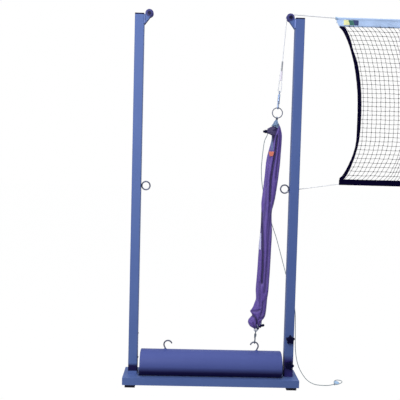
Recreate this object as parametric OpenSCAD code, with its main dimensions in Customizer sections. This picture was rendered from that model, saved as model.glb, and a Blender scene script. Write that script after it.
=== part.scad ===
// Badminton net on a ballasted double post: two square uprights on one weighted base.
// Each upright has a pulley and an eye, and the net's head cord runs over the right pulley
// and down through a snap hook, a ring and a bagged strainer to a hook on the ballast drum.
// X runs along the net, Y from front to back, Z up. The origin is on the floor under the base's centre.

/* [Base] */
// Width of a cross foot along the net
foot_w = 64; // [54:1:90]
// Depth of the base from front to back
base_d = 130; // [126:1:200]
// Height of the feet and rails
tube_h = 30; // [24:1:50]
// Width of a rail from front to back
rail_w = 30; // [24:1:32]
// Length of the rails between the cross feet
rail_l = 610; // [600:5:900]
// Wall of the base tubes
base_wall = 2; // [1.5:0.5:4]
// Thickness of the plates that close the cross feet
foot_plate_t = 2; // [1.5:0.5:4]
// Height of a rubber foot
rubber_h = 10; // [6:1:20]
// Length of a rubber foot along the net
rubber_l = 42; // [30:1:50]
// Width of a rubber foot from front to back
rubber_w = 30; // [20:1:40]

/* [Ballast drum] */
// Outside diameter of the drum
drum_d = 114; // [100:1:124]
// Gap between the drum's ends and the uprights
drum_gap = 12; // [6:1:60]
// Wall of the drum's tube
drum_wall = 3.5; // [2:0.5:6]
// Thickness of the drum's end plates
drum_plate_t = 4; // [3:0.5:8]
// Thickness of a saddle plate under the drum
saddle_t = 8; // [4:1:12]
// Distance of a saddle from the drum's end
saddle_in = 80; // [10:5:150]

/* [Ballast hooks] */
// Distance of a hook's centre from the drum's end
hook_in = 116; // [50:1:150]
// Radius of a hook to the middle of its wire
hook_r = 17; // [14:1:20]
// Height of a hook's centre above its boss
hook_rise = 17.8; // [15:0.1:22]
// Diameter of a hook's wire
hook_wire = 6; // [3:0.2:6.4]
// Radius of the welded boss that holds a hook
boss_r = 8; // [7:1:16]
// Height of the boss above the drum
boss_h = 4; // [3:0.5:9]

/* [Uprights] */
// Outside width of a square upright
post_w = 38; // [36:1:46]
// Wall of an upright
post_wall = 2; // [1.5:0.5:3]
// Corner radius of an upright
post_corner = 3; // [1:0.5:5]
// Height of the top of an upright's cap above the floor
post_top = 1545; // [1300:5:1700]
// Distance from a cross foot's inner edge to an upright
post_inset = 7; // [2:1:8]
// Thickness of a top cap's head
cap_t = 3; // [2:0.5:6]
// Depth of a top cap's plug
cap_plug = 18; // [10:1:30]
// Height of the spigot above the cross foot
spigot_h = 200; // [180:5:260]
// Clearance between a spigot and its upright, each side
spigot_clear = 0.5; // [0.3:0.1:1]
// Wall of a spigot
spigot_wall = 2.5; // [2:0.5:4]

/* [Clamp knobs] */
// Height of the lower knob above the floor
lower_knob_z = 95; // [85:1:110]
// Height of the upper knob above the floor
upper_knob_z = 205; // [180:1:215]
// Diameter over the lobes of a knob
knob_d = 39; // [32:1:44]
// Thickness of a knob's head
knob_t = 14; // [10:1:20]
// Diameter of a knob's stud
stud_d = 8; // [6:1:10]
// Width across the flats of a weld nut
nut_af = 13; // [12:0.5:17]
// Thickness of a weld nut
nut_t = 6.5; // [5:0.5:8]

/* [Pulleys] */
// Diameter of a pulley wheel
pulley_d = 34; // [30:1:36]
// Width of a pulley wheel
pulley_w = 12; // [9:0.5:14]
// Depth of the groove to the middle of its cord
groove_depth = 2.5; // [2:0.5:4]
// Distance of a pulley's axle from its upright
axle_out = 20.5; // [18:0.5:24]
// Height of a pulley's axle above the upright's top
axle_rise = 3; // [2:1:10]
// Diameter of an axle bolt
axle_d = 8; // [6:1:10]
// Thickness of a cheek plate
cheek_t = 3; // [2:0.5:4]
// Gap between a wheel and a cheek
cheek_gap = 0.5; // [0.3:0.1:1]

/* [Eyes] */
// Height of the eyes above the floor
eye_z = 838; // [700:1:950]
// Radius of an eye to the middle of its wire
eye_r = 17; // [12:1:20]
// Diameter of an eye's wire
eye_wire = 6; // [3:0.2:6.4]

/* [Net] */
// Distance from the right upright to the head tape
tape_gap = 130; // [90:5:200]
// Length of the head tape
tape_l = 450; // [400:10:6100]
// Height of the folded head tape
tape_h = 36; // [30:1:75]
// Drop from the top of the uprights' caps to the top of the tape, negative when higher
tape_drop = -11.5; // [-14:0.5:0]
// Height of the tape's top above the bottom of the foot band
net_depth = 695.5; // [600:0.5:760]
// How far the near side edge is drawn in at its middle
side_draw = 80; // [40:1:110]
// How far the far side edge is drawn in at its middle
far_draw = 12; // [4:1:40]
// Share of the net's width that moves with the near side
side_share = 0.45; // [0.2:0.05:0.8]
// Distance of the side edge's upper end from the tape's end
side_top_in = 20; // [8:1:40]
// Distance of the side edge's lower end from the tape's end
side_foot_in = 44; // [20:1:60]
// Height of the foot band
foot_band_h = 24; // [14:1:30]
// Width of the side bands
side_band_w = 15; // [12:1:20]
// How far a side band reaches beyond the net's edge
side_band_out = 5; // [2:1:7]
// Thickness of the folded bands
band_t = 3; // [2.4:0.2:4]
// Distance between the net's strands
mesh_pitch = 30; // [29:1:45]
// Width of a strand
strand_w = 1.4; // [1:0.1:2]

/* [Cords and fittings] */
// Diameter of the head cord
head_cord_d = 4; // [3:0.5:4.5]
// Diameter of the foot cord
foot_cord_d = 3; // [2:0.5:3]
// Diameter of the drawcord
draw_cord_d = 3; // [2:0.5:4]
// Length of a cord's whipped sleeve
sleeve_l = 39; // [25:1:50]
// Diameter of a whipped sleeve
sleeve_d = 8; // [8:0.5:12]
// Length of the near loop above the snap hook
near_loop_l = 84; // [60:1:110]
// Radius of the ring to the middle of its wire
ring_r = 21; // [16:1:26]
// Diameter of the ring's wire
ring_wire = 4; // [3:0.5:5]
// Length of the upper snap's barrel
upper_barrel_l = 28; // [12:1:34]
// Radius of the snaps' barrels
barrel_r = 4.8; // [4.2:0.2:5.6]
// Length of the lower snap's barrel
lower_barrel_l = 10; // [9:1:20]
// Turn of the upper snap about the line, in degrees
upper_snap_turn = 60; // [45:1:90]
// Diameter of the elastic strainer
strainer_d = 8; // [6:0.5:10]
// Length of the strainer and its bag along the line
bag_l = 870; // [700:5:900]
// Widest width of the bag
bag_w = 66; // [56:1:80]

/* [Hidden] */

$fn = 48;
// Gap between pieces that only rest near each other
seat_gap = 0.3;
// Radial clearance of a pin or bolt that turns
running = 0.06;
// Radial clearance of a drilled hole
drill_clear = 0.25;

blue = "#4a5ea3";
steel = "#8d8f92";
black = "#17181c";
navy = "#14163a";
pale = "#a9c0e6";
purple = "#5b4a9a";

foot_top = rubber_h + tube_h;
post_x = rail_l / 2 + post_inset + post_w / 2;
post_inner = post_x - post_w / 2;
foot_x = rail_l / 2 + foot_w / 2;
rail_y = base_d / 2 - rail_w / 2;
rail_inner_y = base_d / 2 - rail_w;
drum_r = drum_d / 2;
drum_l = 2 * (post_inner - drum_gap);
drum_z = foot_top + sqrt(pow(drum_r + seat_gap, 2) - pow(rail_inner_y, 2));
drum_top = drum_z + drum_r;
hook_x = drum_l / 2 - hook_in;
hook_z = drum_top + boss_h + hook_rise;

axle_x = post_inner - axle_out;
axle_z = post_top + axle_rise;
pitch_r = pulley_d / 2 - groove_depth;
eye_x = post_inner - eye_r - eye_wire / 2 - 0.4;
knob_hub_l = 6;
knob_neck = nut_t + 1;

tape_x = post_x + post_w / 2 + tape_gap;
tape_end_x = tape_x + tape_l;
tape_top = post_top - tape_drop;
tape_bottom = tape_top - tape_h;
tape_cord_z = tape_top - head_cord_d / 2 - 1;
foot_bottom = tape_top - net_depth;
foot_band_top = foot_bottom + foot_band_h;
foot_cord_z = foot_bottom + foot_cord_d / 2 + 1.7;
strand_t = 1.2;
slot_half = 0.8;

snap_wire = 4;
snap_bend = 6;
snap_open = 20;
gate_wire = 3;
eye_bend = 6;
swivel_wire = 3.6;
swivel_seat = 3;
swivel_head = 2.2;
snap_neck = 2 * snap_bend + snap_open;
lash_rise = 27;

// The tension line runs straight from the ballast hook to the right pulley's inner side.
line_x = hook_x + 1;
line_z = hook_z + hook_r - hook_wire / 2 - snap_wire / 2 - seat_gap;
line_reach = norm([axle_x - line_x, axle_z - line_z]);
line_tilt = atan2(axle_x - line_x, axle_z - line_z) - asin(pitch_r / line_reach);
line_l = sqrt(pow(line_reach, 2) - pow(pitch_r, 2));
head_reach = norm([tape_x - axle_x, tape_cord_z - axle_z]);
head_angle = atan2(tape_cord_z - axle_z, tape_x - axle_x) + acos(pitch_r / head_reach);

function eye_top(barrel) = snap_neck + barrel + 2 + 2 * eye_bend;
lower_eye_top = eye_top(lower_barrel_l);
lower_ring_r = 7.5;
lower_ring_wire = 3;
lower_ring_s = lower_eye_top - swivel_wire / 2 - lower_ring_wire / 2 - seat_gap + lower_ring_r;
bag_bottom_s = lower_ring_s + 4;
strainer_s = lower_ring_s + lower_ring_r + lower_ring_wire / 2 + seat_gap;
bag_top_s = bag_bottom_s + bag_l;
lash_wire_s = bag_top_s + lash_rise;
ring_s = lash_wire_s + ring_r;
upper_snap_s = ring_s + ring_r - ring_wire / 2 - snap_wire / 2 - seat_gap;
upper_eye_top = upper_snap_s + eye_top(upper_barrel_l);
near_loop_r = 5.2;
near_loop_s = upper_eye_top - swivel_wire / 2 - head_cord_d / 2 - seat_gap + near_loop_r;
near_sleeve_s = near_loop_s + near_loop_l;
strand_gap = 2.3;

// ---- vector helpers and the tube that cords are swept from ----

function unit(v) = v / norm(v);
function on_line(s) = [line_x + s * sin(line_tilt), 0, line_z + s * cos(line_tilt)];
function flat(list) = [for (a = list) for (b = a) b];
function way(p, i) = unit(p[min(i + 1, len(p) - 1)] - p[max(i - 1, 0)]);
function side_of(t) = unit(abs(t[1]) < 0.9 ? cross(t, [0, 1, 0]) : cross(t, [1, 0, 0]));
function carried(n, t) = unit(n - t * (n * t));
function sides(p, i = 0, n = undef) =
    i >= len(p) ? [] :
    let (m = carried(is_undef(n) ? side_of(way(p, i)) : n, way(p, i)))
    concat([m], sides(p, i + 1, m));
function ring_at(c, n, b, r, k) = [for (j = [0 : k - 1]) c + r * (n * cos(360 * j / k) + b * sin(360 * j / k))];
function length_of(p) = len(p) < 2 ? 0 : [for (i = 0, s = 0; i < len(p); i = i + 1,
    s = s + (i < len(p) ? norm(p[i] - p[i - 1]) : 0)) s][len(p) - 1];
// A smooth curve through the chosen points, with a few steps between each pair
function knot_pt(p, i) = p[max(0, min(len(p) - 1, i))];
function spline_at(a, b, c, d, t) =
    0.5 * (2 * b + (c - a) * t + (2 * a - 5 * b + 4 * c - d) * t * t + (3 * b - a - 3 * c + d) * t * t * t);
function smooth(p, steps) = concat(
    [for (i = [0 : len(p) - 2]) for (k = [0 : steps - 1])
        spline_at(knot_pt(p, i - 1), knot_pt(p, i), knot_pt(p, i + 1), knot_pt(p, i + 2), k / steps)],
    [p[len(p) - 1]]);
function quad(a, b, c, d) = [[a, b, c], [a, c, d]];

module tube(p, d, k = 8) {
    n = sides(p);
    m = len(p);
    points = flat([for (i = [0 : m - 1]) ring_at(p[i], n[i], cross(way(p, i), n[i]), d / 2, k)]);
    walls = flat(flat([for (i = [0 : m - 2]) [for (j = [0 : k - 1])
        let (a = i * k + j, b = i * k + (j + 1) % k) quad(a, a + k, b + k, b)]]));
    start = [for (j = [1 : k - 2]) [0, j, j + 1]];
    end = [for (j = [1 : k - 2]) [(m - 1) * k, (m - 1) * k + j + 1, (m - 1) * k + j]];
    polyhedron(points, concat([for (f = walls) f], start, end));
}

// A loop of cord that leaves two strands and runs round an arc, in its own X-Z plane
loop_start = 3;
function loop_angle(l, r, g) = atan2(g, -l) - acos(r / norm([l, g]));
function loop_points(l, r, g) = let (a = loop_angle(l - loop_start, r, g)) concat(
    [[0, 0, g], [loop_start, 0, g]],
    [for (i = [0 : 14]) [l + r * cos(a - 2 * a * i / 14), 0, r * sin(a - 2 * a * i / 14)]],
    [[loop_start, 0, -g], [0, 0, -g]]);

module on_line(s, turn = 0) {
    translate(on_line(s))
        rotate([0, line_tilt, 0])
            rotate([0, 0, turn])
                children();
}

module along_x(x, y, z) {
    translate([x, y, z])
        rotate([0, 90, 0])
            children();
}

module along_y(x, y, z) {
    translate([x, y, z])
        rotate([-90, 0, 0])
            children();
}

// A square with true round corners
module round_square(w, r) {
    square([w, w - 2 * r], center = true);
    square([w - 2 * r, w], center = true);
    for (x = [-1, 1])
        for (y = [-1, 1])
            translate([x * (w / 2 - r), y * (w / 2 - r)])
                circle(r);
}

module square_tube(w, wall, r, l) {
    linear_extrude(l)
        difference() {
            round_square(w, r);
            round_square(w - 2 * wall, max(r - wall, 0.5));
        }
}

module hexagon(af, t) {
    linear_extrude(t)
        circle(d = af / cos(30), $fn = 6);
}

// A wire bent to an arc in the X-Z plane, from angle a on through sweep degrees
module wire_arc(r, wire, a, sweep) {
    rotate([90, 0, 0])
        rotate([0, 0, a])
            rotate_extrude(angle = sweep)
                translate([r, 0])
                    circle(d = wire, $fn = 24);
}

module wire_ring(r, wire) {
    rotate([90, 0, 0])
        rotate_extrude()
            translate([r, 0])
                circle(d = wire, $fn = 24);
}

// ---- base ----

module cross_foot(side) {
    color(blue)
        translate([side * foot_x, 0, rubber_h + tube_h / 2])
            difference() {
                cube([foot_w, base_d - 2 * foot_plate_t, tube_h], center = true);
                cube([foot_w - 2 * base_wall, base_d, tube_h - 2 * base_wall], center = true);
            }
}

module rail(side) {
    color(blue)
        translate([0, side * rail_y, rubber_h + tube_h / 2])
            difference() {
                cube([rail_l, rail_w, tube_h], center = true);
                cube([rail_l + 1, rail_w - 2 * base_wall, tube_h - 2 * base_wall], center = true);
            }
}

module foot_end_plates() {
    color(blue)
        for (x = [-foot_x, foot_x])
            for (y = [-1, 1])
                translate([x, y * (base_d - foot_plate_t) / 2, rubber_h + tube_h / 2])
                    cube([foot_w, foot_plate_t, tube_h], center = true);
}

module rubber_feet() {
    color(black)
        for (x = [-foot_x, foot_x])
            for (y = [-1, 1])
                translate([x, y * (base_d - rubber_w) / 2, rubber_h / 2])
                    cube([rubber_l, rubber_w, rubber_h], center = true);
}

module spigot(side) {
    color(blue)
        translate([side * post_x, 0, foot_top])
            square_tube(post_w - 2 * post_wall - 2 * spigot_clear, spigot_wall, 2, spigot_h);
}

// ---- ballast drum ----

module drum_shell() {
    color(blue)
        along_x(-drum_l / 2 + drum_plate_t, 0, drum_z)
            difference() {
                cylinder(r = drum_r, h = drum_l - 2 * drum_plate_t, $fn = 96);
                translate([0, 0, -1])
                    cylinder(r = drum_r - drum_wall, h = drum_l, $fn = 96);
            }
}

module drum_end_plates() {
    color(blue)
        for (x = [-drum_l / 2, drum_l / 2 - drum_plate_t])
            along_x(x, 0, drum_z)
                cylinder(r = drum_r, h = drum_plate_t, $fn = 96);
}

module drum_ballast() {
    color("#9a9890")
        along_x(-drum_l / 2 + drum_plate_t, 0, drum_z)
            cylinder(r = drum_r - drum_wall, h = drum_l - 2 * drum_plate_t, $fn = 96);
}

module drum_saddles() {
    color(blue)
        for (x = [-drum_l / 2 + saddle_in, drum_l / 2 - saddle_in])
            difference() {
                translate([x - saddle_t / 2, -rail_inner_y, rubber_h + 2])
                    cube([saddle_t, 2 * rail_inner_y, tube_h - 2]);
                along_x(x - saddle_t, 0, drum_z)
                    cylinder(r = drum_r + seat_gap, h = 2 * saddle_t, $fn = 96);
            }
}

module hook_bosses() {
    color(blue)
        for (side = [-1, 1])
            difference() {
                translate([side * hook_foot_x, 0, drum_z])
                    cylinder(r = boss_r, h = drum_r + boss_h);
                along_x(side * hook_foot_x - 2 * boss_r, 0, drum_z)
                    cylinder(r = drum_r, h = 4 * boss_r, $fn = 96);
                translate([side * hook_foot_x, 0, drum_top - 10])
                    cylinder(d = hook_wire + 2 * drill_clear, h = boss_h + 20);
            }
}

hook_foot_angle = -50;
hook_tip_angle = 166;
hook_foot_x = hook_x + hook_r * cos(hook_foot_angle);
hook_foot_z = hook_z + hook_r * sin(hook_foot_angle);

module ballast_hook(side) {
    color(steel)
        mirror([side < 0 ? 1 : 0, 0, 0]) {
            translate([hook_x, 0, hook_z])
                wire_arc(hook_r, hook_wire, hook_foot_angle, hook_tip_angle - hook_foot_angle);
            translate([hook_foot_x, 0, drum_top + seat_gap])
                cylinder(d = hook_wire, h = hook_foot_z - drum_top - seat_gap);
            for (a = [hook_foot_angle, hook_tip_angle])
                translate([hook_x + hook_r * cos(a), 0, hook_z + hook_r * sin(a)])
                    sphere(d = hook_wire + 0.6);
        }
}

// ---- uprights and what is fixed to them ----

module upright(side) {
    face = side > 0 ? -1 : 1;
    color(blue)
        difference() {
            translate([side * post_x, 0, foot_top])
                square_tube(post_w, post_wall, post_corner, post_top - cap_t - foot_top);
            for (z = [lower_knob_z, upper_knob_z])
                along_y(side * post_x, face > 0 ? post_w / 4 : -post_w, z)
                    cylinder(d = stud_d + 2 * drill_clear, h = post_w * 0.75);
            along_x(side > 0 ? post_inner - 5 : -post_inner - 5, 0, eye_z)
                cylinder(d = eye_stem_d + 2 * drill_clear, h = 10);
        }
}

module top_cap(side) {
    inner = post_w - 2 * post_wall - 2 * spigot_clear;
    color(black)
        translate([side * post_x, 0, post_top]) {
            translate([0, 0, -cap_t])
                linear_extrude(cap_t)
                    round_square(post_w, post_corner);
            translate([0, 0, -cap_t - cap_plug])
                square_tube(inner, 2, 1, cap_plug);
        }
}

module clamp_nuts(side) {
    face = side > 0 ? -1 : 1;
    color(black)
        for (z = [lower_knob_z, upper_knob_z])
            translate([side * post_x, face * post_w / 2, z])
                rotate([face > 0 ? -90 : 90, 0, 0])
                    difference() {
                        hexagon(nut_af, nut_t);
                        translate([0, 0, -1])
                            cylinder(d = stud_d + 2 * running, h = nut_t + 2);
                    }
}

// A five-lobed knob with a hub and a stud that reaches the spigot
module knob(side, z, turn) {
    face = side > 0 ? -1 : 1;
    lobe_r = knob_d * 0.13;
    reach = knob_d / 2 - lobe_r;
    color(black)
        translate([side * post_x, face * post_w / 2, z])
            rotate([face > 0 ? -90 : 90, 0, 0]) {
                translate([0, 0, knob_neck + knob_hub_l - 3]) {
                    cylinder(r = reach * 0.9, h = knob_t);
                    for (i = [0 : 4])
                        rotate([0, 0, turn + 72 * i])
                            translate([reach, 0, 1])
                                cylinder(r = lobe_r, h = knob_t - 2);
                }
                translate([0, 0, knob_neck])
                    cylinder(d = stud_d * 2, h = knob_hub_l);
                translate([0, 0, -post_wall - spigot_clear + 0.2])
                    cylinder(d = stud_d, h = post_wall + knob_neck + spigot_clear + 1);
            }
}

module pulley_cheeks(side) {
    plate_y = pulley_w / 2 + cheek_gap;
    color(blue)
        mirror([side < 0 ? 1 : 0, 0, 0])
            for (y = [plate_y, -plate_y - cheek_t])
                difference() {
                    translate([0, y + cheek_t, 0])
                        rotate([90, 0, 0])
                            linear_extrude(cheek_t)
                                hull() {
                                    translate([axle_x, axle_z])
                                        circle(pulley_d * 0.36, $fn = 32);
                                    translate([post_inner - 2, post_top - cheek_foot_top])
                                        square([2, cheek_foot_top - cheek_head], center = false);
                                }
                    along_y(axle_x, y - 1, axle_z)
                        cylinder(d = axle_d + 2 * running, h = cheek_t + 2);
                }
}

cheek_foot_top = 42;
cheek_head = 5;

module pulley_bolt(side) {
    half = pulley_w / 2 + cheek_gap + cheek_t;
    color(black)
        mirror([side < 0 ? 1 : 0, 0, 0]) {
            along_y(axle_x, -half, axle_z)
                cylinder(d = axle_d, h = 2 * half + nut_t + 1.5);
            along_y(axle_x, -half - 5, axle_z)
                hexagon(nut_af, 5);
            difference() {
                along_y(axle_x, half + 0.05, axle_z)
                    hexagon(nut_af, nut_t);
                along_y(axle_x, half, axle_z)
                    cylinder(d = axle_d + 0.04, h = nut_t + 2);
            }
        }
}

module pulley_wheel(side) {
    groove = head_cord_d / 2 + seat_gap;
    color(black)
        mirror([side < 0 ? 1 : 0, 0, 0])
            along_y(axle_x, -pulley_w / 2, axle_z)
                rotate_extrude($fn = 72)
                    difference() {
                        translate([axle_d / 2 + running, 0])
                            square([pulley_d / 2 - axle_d / 2 - running, pulley_w]);
                        translate([pitch_r, pulley_w / 2])
                            circle(groove, $fn = 32);
                        polygon([
                            [pitch_r, pulley_w / 2 - groove], [pitch_r, pulley_w / 2 + groove],
                            [pulley_d / 2 + 1, pulley_w - 1.4], [pulley_d / 2 + 1, 1.4]]);
                    }
}

eye_stem_d = 6;

module eye(side) {
    color(steel)
        mirror([side < 0 ? 1 : 0, 0, 0]) {
            translate([eye_x, 0, eye_z])
                wire_ring(eye_r, eye_wire);
            along_x(post_inner - 1.2, 0, eye_z)
                cylinder(d = 10, h = 1.2);
            along_x(post_inner - 1, 0, eye_z)
                cylinder(d = eye_stem_d, h = post_wall + 8);
            along_x(post_inner + post_wall + 0.05, 0, eye_z)
                difference() {
                    hexagon(10, 5);
                    translate([0, 0, -1])
                        cylinder(d = eye_stem_d + 0.04, h = 8);
                }
        }
}

// ---- net ----

side_steps = 20;
net_top_l = tape_l - 2 * side_top_in;
function side_z(u) = tape_bottom + (foot_band_top - tape_bottom) * u;
function side_bow(u) = pow(max(4 * u * (1 - u), 0), 0.7);
function side_shift(u, draw) = (side_foot_in - side_top_in) * u + draw * side_bow(u);
// A column of the net: t is 0 at the near side edge and 1 at the far one, u is 0 at the tape and 1 at the foot
function near_share(t) = t <= side_share ? 1 : (1 - t) / (1 - side_share);
function column_x(t, u) = tape_x + side_top_in + t * net_top_l
    + near_share(t) * side_shift(u, side_draw) - (1 - near_share(t)) * side_shift(u, far_draw);
function column_pts(t, shift, grow = 0) = [for (i = [0 : side_steps])
    let (u = i / side_steps) [column_x(t, u) + shift, side_z(u) + (i == 0 ? grow : i == side_steps ? -grow : 0)]];
function backwards(p) = [for (i = [len(p) - 1 : -1 : 0]) p[i]];

module stand_up(t) {
    translate([0, t / 2, 0])
        rotate([90, 0, 0])
            linear_extrude(t)
                children();
}

// A strip between two columns, each moved along the net
module strip(t_a, shift_a, t_b, shift_b, grow) {
    polygon(concat(column_pts(t_a, shift_a, grow), backwards(column_pts(t_b, shift_b, grow))));
}

module net_mesh() {
    columns = floor(net_top_l / mesh_pitch);
    rows = floor((net_depth - tape_h - foot_band_h) / mesh_pitch);
    row_pitch = (tape_bottom - foot_band_top) / (rows + 1);
    color("#4a5056")
        stand_up(strand_t) {
            for (i = [0 : columns])
                strip(i / columns, i == columns ? -strand_w : 0, i / columns, i == columns ? 0 : strand_w, 9);
            intersection() {
                strip(0, 0, 1, 0, 9);
                for (i = [1 : rows])
                    translate([tape_x, foot_band_top + i * row_pitch - strand_w / 2])
                        square([tape_l, strand_w]);
            }
            for (z = [tape_bottom, foot_band_top - 8])
                intersection() {
                    strip(0, 0, 1, 0, 9);
                    translate([tape_x, z])
                        square([tape_l, 8]);
                }
        }
}

module head_tape() {
    bore = head_cord_d / 2 + seat_gap;
    color(pale)
        difference() {
            union() {
                along_x(tape_x, 0, tape_cord_z)
                    cylinder(r = head_cord_d / 2 + 1, h = tape_l);
                translate([tape_x, -band_t / 2, tape_bottom])
                    cube([tape_l, band_t, tape_cord_z - tape_bottom]);
            }
            along_x(tape_x - 1, 0, tape_cord_z)
                cylinder(r = bore, h = tape_l + 2);
            translate([tape_x - 1, -slot_half, tape_bottom - 1])
                cube([tape_l + 2, 2 * slot_half, 12]);
        }
}

module side_band(t) {
    out = t == 0 ? -1 : 1;
    color(navy)
        difference() {
            stand_up(band_t)
                strip(t, side_band_out * out, t, (side_band_out - side_band_w) * out, -seat_gap);
            stand_up(2 * slot_half)
                strip(t, seat_gap * out, t, -side_band_w * out, 5);
        }
}

foot_band_x = tape_x + side_foot_in - 6;
foot_band_end_x = tape_end_x - side_foot_in + 6;

module foot_band() {
    l = foot_band_end_x - foot_band_x;
    color(navy)
        difference() {
            union() {
                along_x(foot_band_x, 0, foot_cord_z)
                    cylinder(r = foot_cord_d / 2 + 1.7, h = l);
                translate([foot_band_x, -band_t / 2, foot_cord_z])
                    cube([l, band_t, foot_band_top - foot_cord_z]);
            }
            along_x(foot_band_x - 1, 0, foot_cord_z)
                cylinder(r = foot_cord_d / 2 + seat_gap, h = l + 2);
            translate([foot_band_x - 1, -slot_half, foot_band_top - 10])
                cube([l + 2, 2 * slot_half, 11]);
        }
}

// ---- cords that are held all the way ----

far_free = 26;
far_head_x = tape_end_x + far_free;
far_foot_x = foot_band_end_x + far_free;
far_loop_l = 26;
far_loop_r = 10;
tie_angle = -35;
tie = [eye_x + eye_r * cos(tie_angle), 0, eye_z + eye_r * sin(tie_angle)];
tie_r = eye_wire / 2 + foot_cord_d / 2 + seat_gap;
behind_post = post_w / 2 + foot_cord_d / 2 + seat_gap;

head_route = concat(
    [on_line(near_sleeve_s + sleeve_l), on_line(line_l - 30)],
    [for (i = [0 : 10]) let (a = (180 - line_tilt) + (head_angle - 180 + line_tilt) * i / 10)
        [axle_x + pitch_r * cos(a), 0, axle_z + pitch_r * sin(a)]],
    [[tape_x, 0, tape_cord_z], [tape_x + 20, 0, tape_cord_z], [far_head_x, 0, tape_cord_z]]);

foot_route = [
    [tie[0], tie_r, tie[2]], [tie[0] - 1, tie_r + 5, tie[2] + 0.5], [tie[0] - 0.5, behind_post - 8, tie[2] + 2],
    [post_inner - 3, behind_post - 2.5, tie[2] + 2.5], [post_inner + 1, behind_post, tie[2] + 3],
    [post_inner + post_w - 1, behind_post, tie[2] + 9], [post_inner + post_w + 5, behind_post - 1, tie[2] + 10],
    [foot_band_x - 6, 0.2, foot_cord_z - 0.5], [foot_band_x, 0, foot_cord_z], [far_foot_x, 0, foot_cord_z]];

module head_cord() {
    color("#c9cdd2")
        tube(head_route, head_cord_d, 10);
}

module foot_cord() {
    color("#c9cdd2") {
        tube(foot_route, foot_cord_d, 8);
        translate(tie)
            rotate([0, -tie_angle, 0])
                rotate_extrude()
                    translate([tie_r, 0])
                        circle(d = foot_cord_d, $fn = 24);
    }
}

module cord_sleeves() {
    color("#8f9297") {
        on_line(near_sleeve_s)
            cylinder(d = sleeve_d, h = sleeve_l);
        along_x(far_head_x, 0, tape_cord_z)
            cylinder(d = sleeve_d, h = 22);
        along_x(far_foot_x, 0, foot_cord_z)
            cylinder(d = sleeve_d, h = 22);
    }
}

module near_loop() {
    down = loop_points(near_loop_l, near_loop_r, strand_gap);
    color("#c9cdd2")
        on_line(near_sleeve_s)
            rotate([0, 90, 0])
                tube(down, head_cord_d, 10);
}

module far_loops() {
    color("#c9cdd2") {
        translate([far_head_x + 22, 0, tape_cord_z])
            tube(loop_points(far_loop_l, far_loop_r, strand_gap), head_cord_d, 10);
        translate([far_foot_x + 22, 0, foot_cord_z])
            tube(loop_points(far_loop_l, far_loop_r, strand_gap), foot_cord_d, 8);
    }
}

// ---- snap hooks: the hook bends in the X-Z plane of its own frame, and its foot is at the origin ----

gate_pivot_z = snap_bend + snap_open - 2;
gate_tip_z = snap_bend + 4.5;
fork_t = 1.2;

module snap_hook(barrel) {
    color(steel) {
        translate([0, 0, snap_bend])
            wire_arc(snap_bend, snap_wire, 180, 180);
        translate([-snap_bend, 0, snap_bend])
            cylinder(d = snap_wire + 0.2, h = snap_open);
        translate([snap_bend, 0, snap_bend])
            cylinder(d = snap_wire + 0.2, h = gate_tip_z - snap_bend - seat_gap);
        translate([0, 0, snap_bend + snap_open])
            wire_arc(snap_bend, snap_wire, 45, 135);
        difference() {
            translate([0, 0, snap_neck - 2])
                cylinder(r = barrel_r, h = barrel + 2, $fn = 32);
            translate([0, 0, snap_neck + swivel_seat - 0.4])
                cylinder(r = 3.2, h = swivel_head + 0.8, $fn = 32);
            translate([0, 0, snap_neck + swivel_seat])
                cylinder(d = swivel_wire + 2 * running, h = barrel, $fn = 32);
        }
        for (y = [gate_wire / 2 + 0.2, -gate_wire / 2 - 0.2 - fork_t])
            translate([0, y, 0])
                difference() {
                    union() {
                        along_y(snap_bend, 0, gate_pivot_z)
                            cylinder(r = 2.8, h = fork_t, $fn = 32);
                        translate([2, 0, gate_pivot_z])
                            cube([snap_bend + 2.8 - 2, fork_t, snap_neck - gate_pivot_z - 0.6]);
                    }
                    along_y(snap_bend, -1, gate_pivot_z)
                        cylinder(r = 1.2, h = fork_t + 2, $fn = 32);
                }
        along_y(snap_bend, -gate_wire / 2 - 0.2 - fork_t, gate_pivot_z)
            cylinder(r = 1.2, h = gate_wire + 0.4 + 2 * fork_t, $fn = 32);
    }
}

module snap_gate() {
    color(steel)
        difference() {
            union() {
                translate([snap_bend, 0, gate_tip_z])
                    cylinder(d = gate_wire, h = gate_pivot_z - gate_tip_z, $fn = 24);
                along_y(snap_bend, -gate_wire / 2, gate_pivot_z)
                    cylinder(r = 2.4, h = gate_wire, $fn = 32);
            }
            along_y(snap_bend, -5, gate_pivot_z)
                cylinder(r = 1.2 + running, h = 10, $fn = 32);
        }
}

module snap_eye(barrel) {
    color(steel)
        translate([0, 0, snap_neck]) {
            translate([0, 0, barrel + 2 + eye_bend])
                wire_ring(eye_bend, swivel_wire);
            translate([0, 0, swivel_seat + 1])
                cylinder(d = swivel_wire, h = barrel - swivel_seat + 1.2, $fn = 32);
            translate([0, 0, swivel_seat])
                cylinder(r = 2.9, h = swivel_head, $fn = 32);
        }
}

// ---- rings, lashing, bag and strainer ----

module line_ring() {
    color(steel)
        on_line(ring_s)
            wire_ring(ring_r, ring_wire);
}

module lower_ring() {
    color("#e4e6ea")
        on_line(lower_ring_s)
            wire_ring(lower_ring_r, lower_ring_wire);
}

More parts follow.
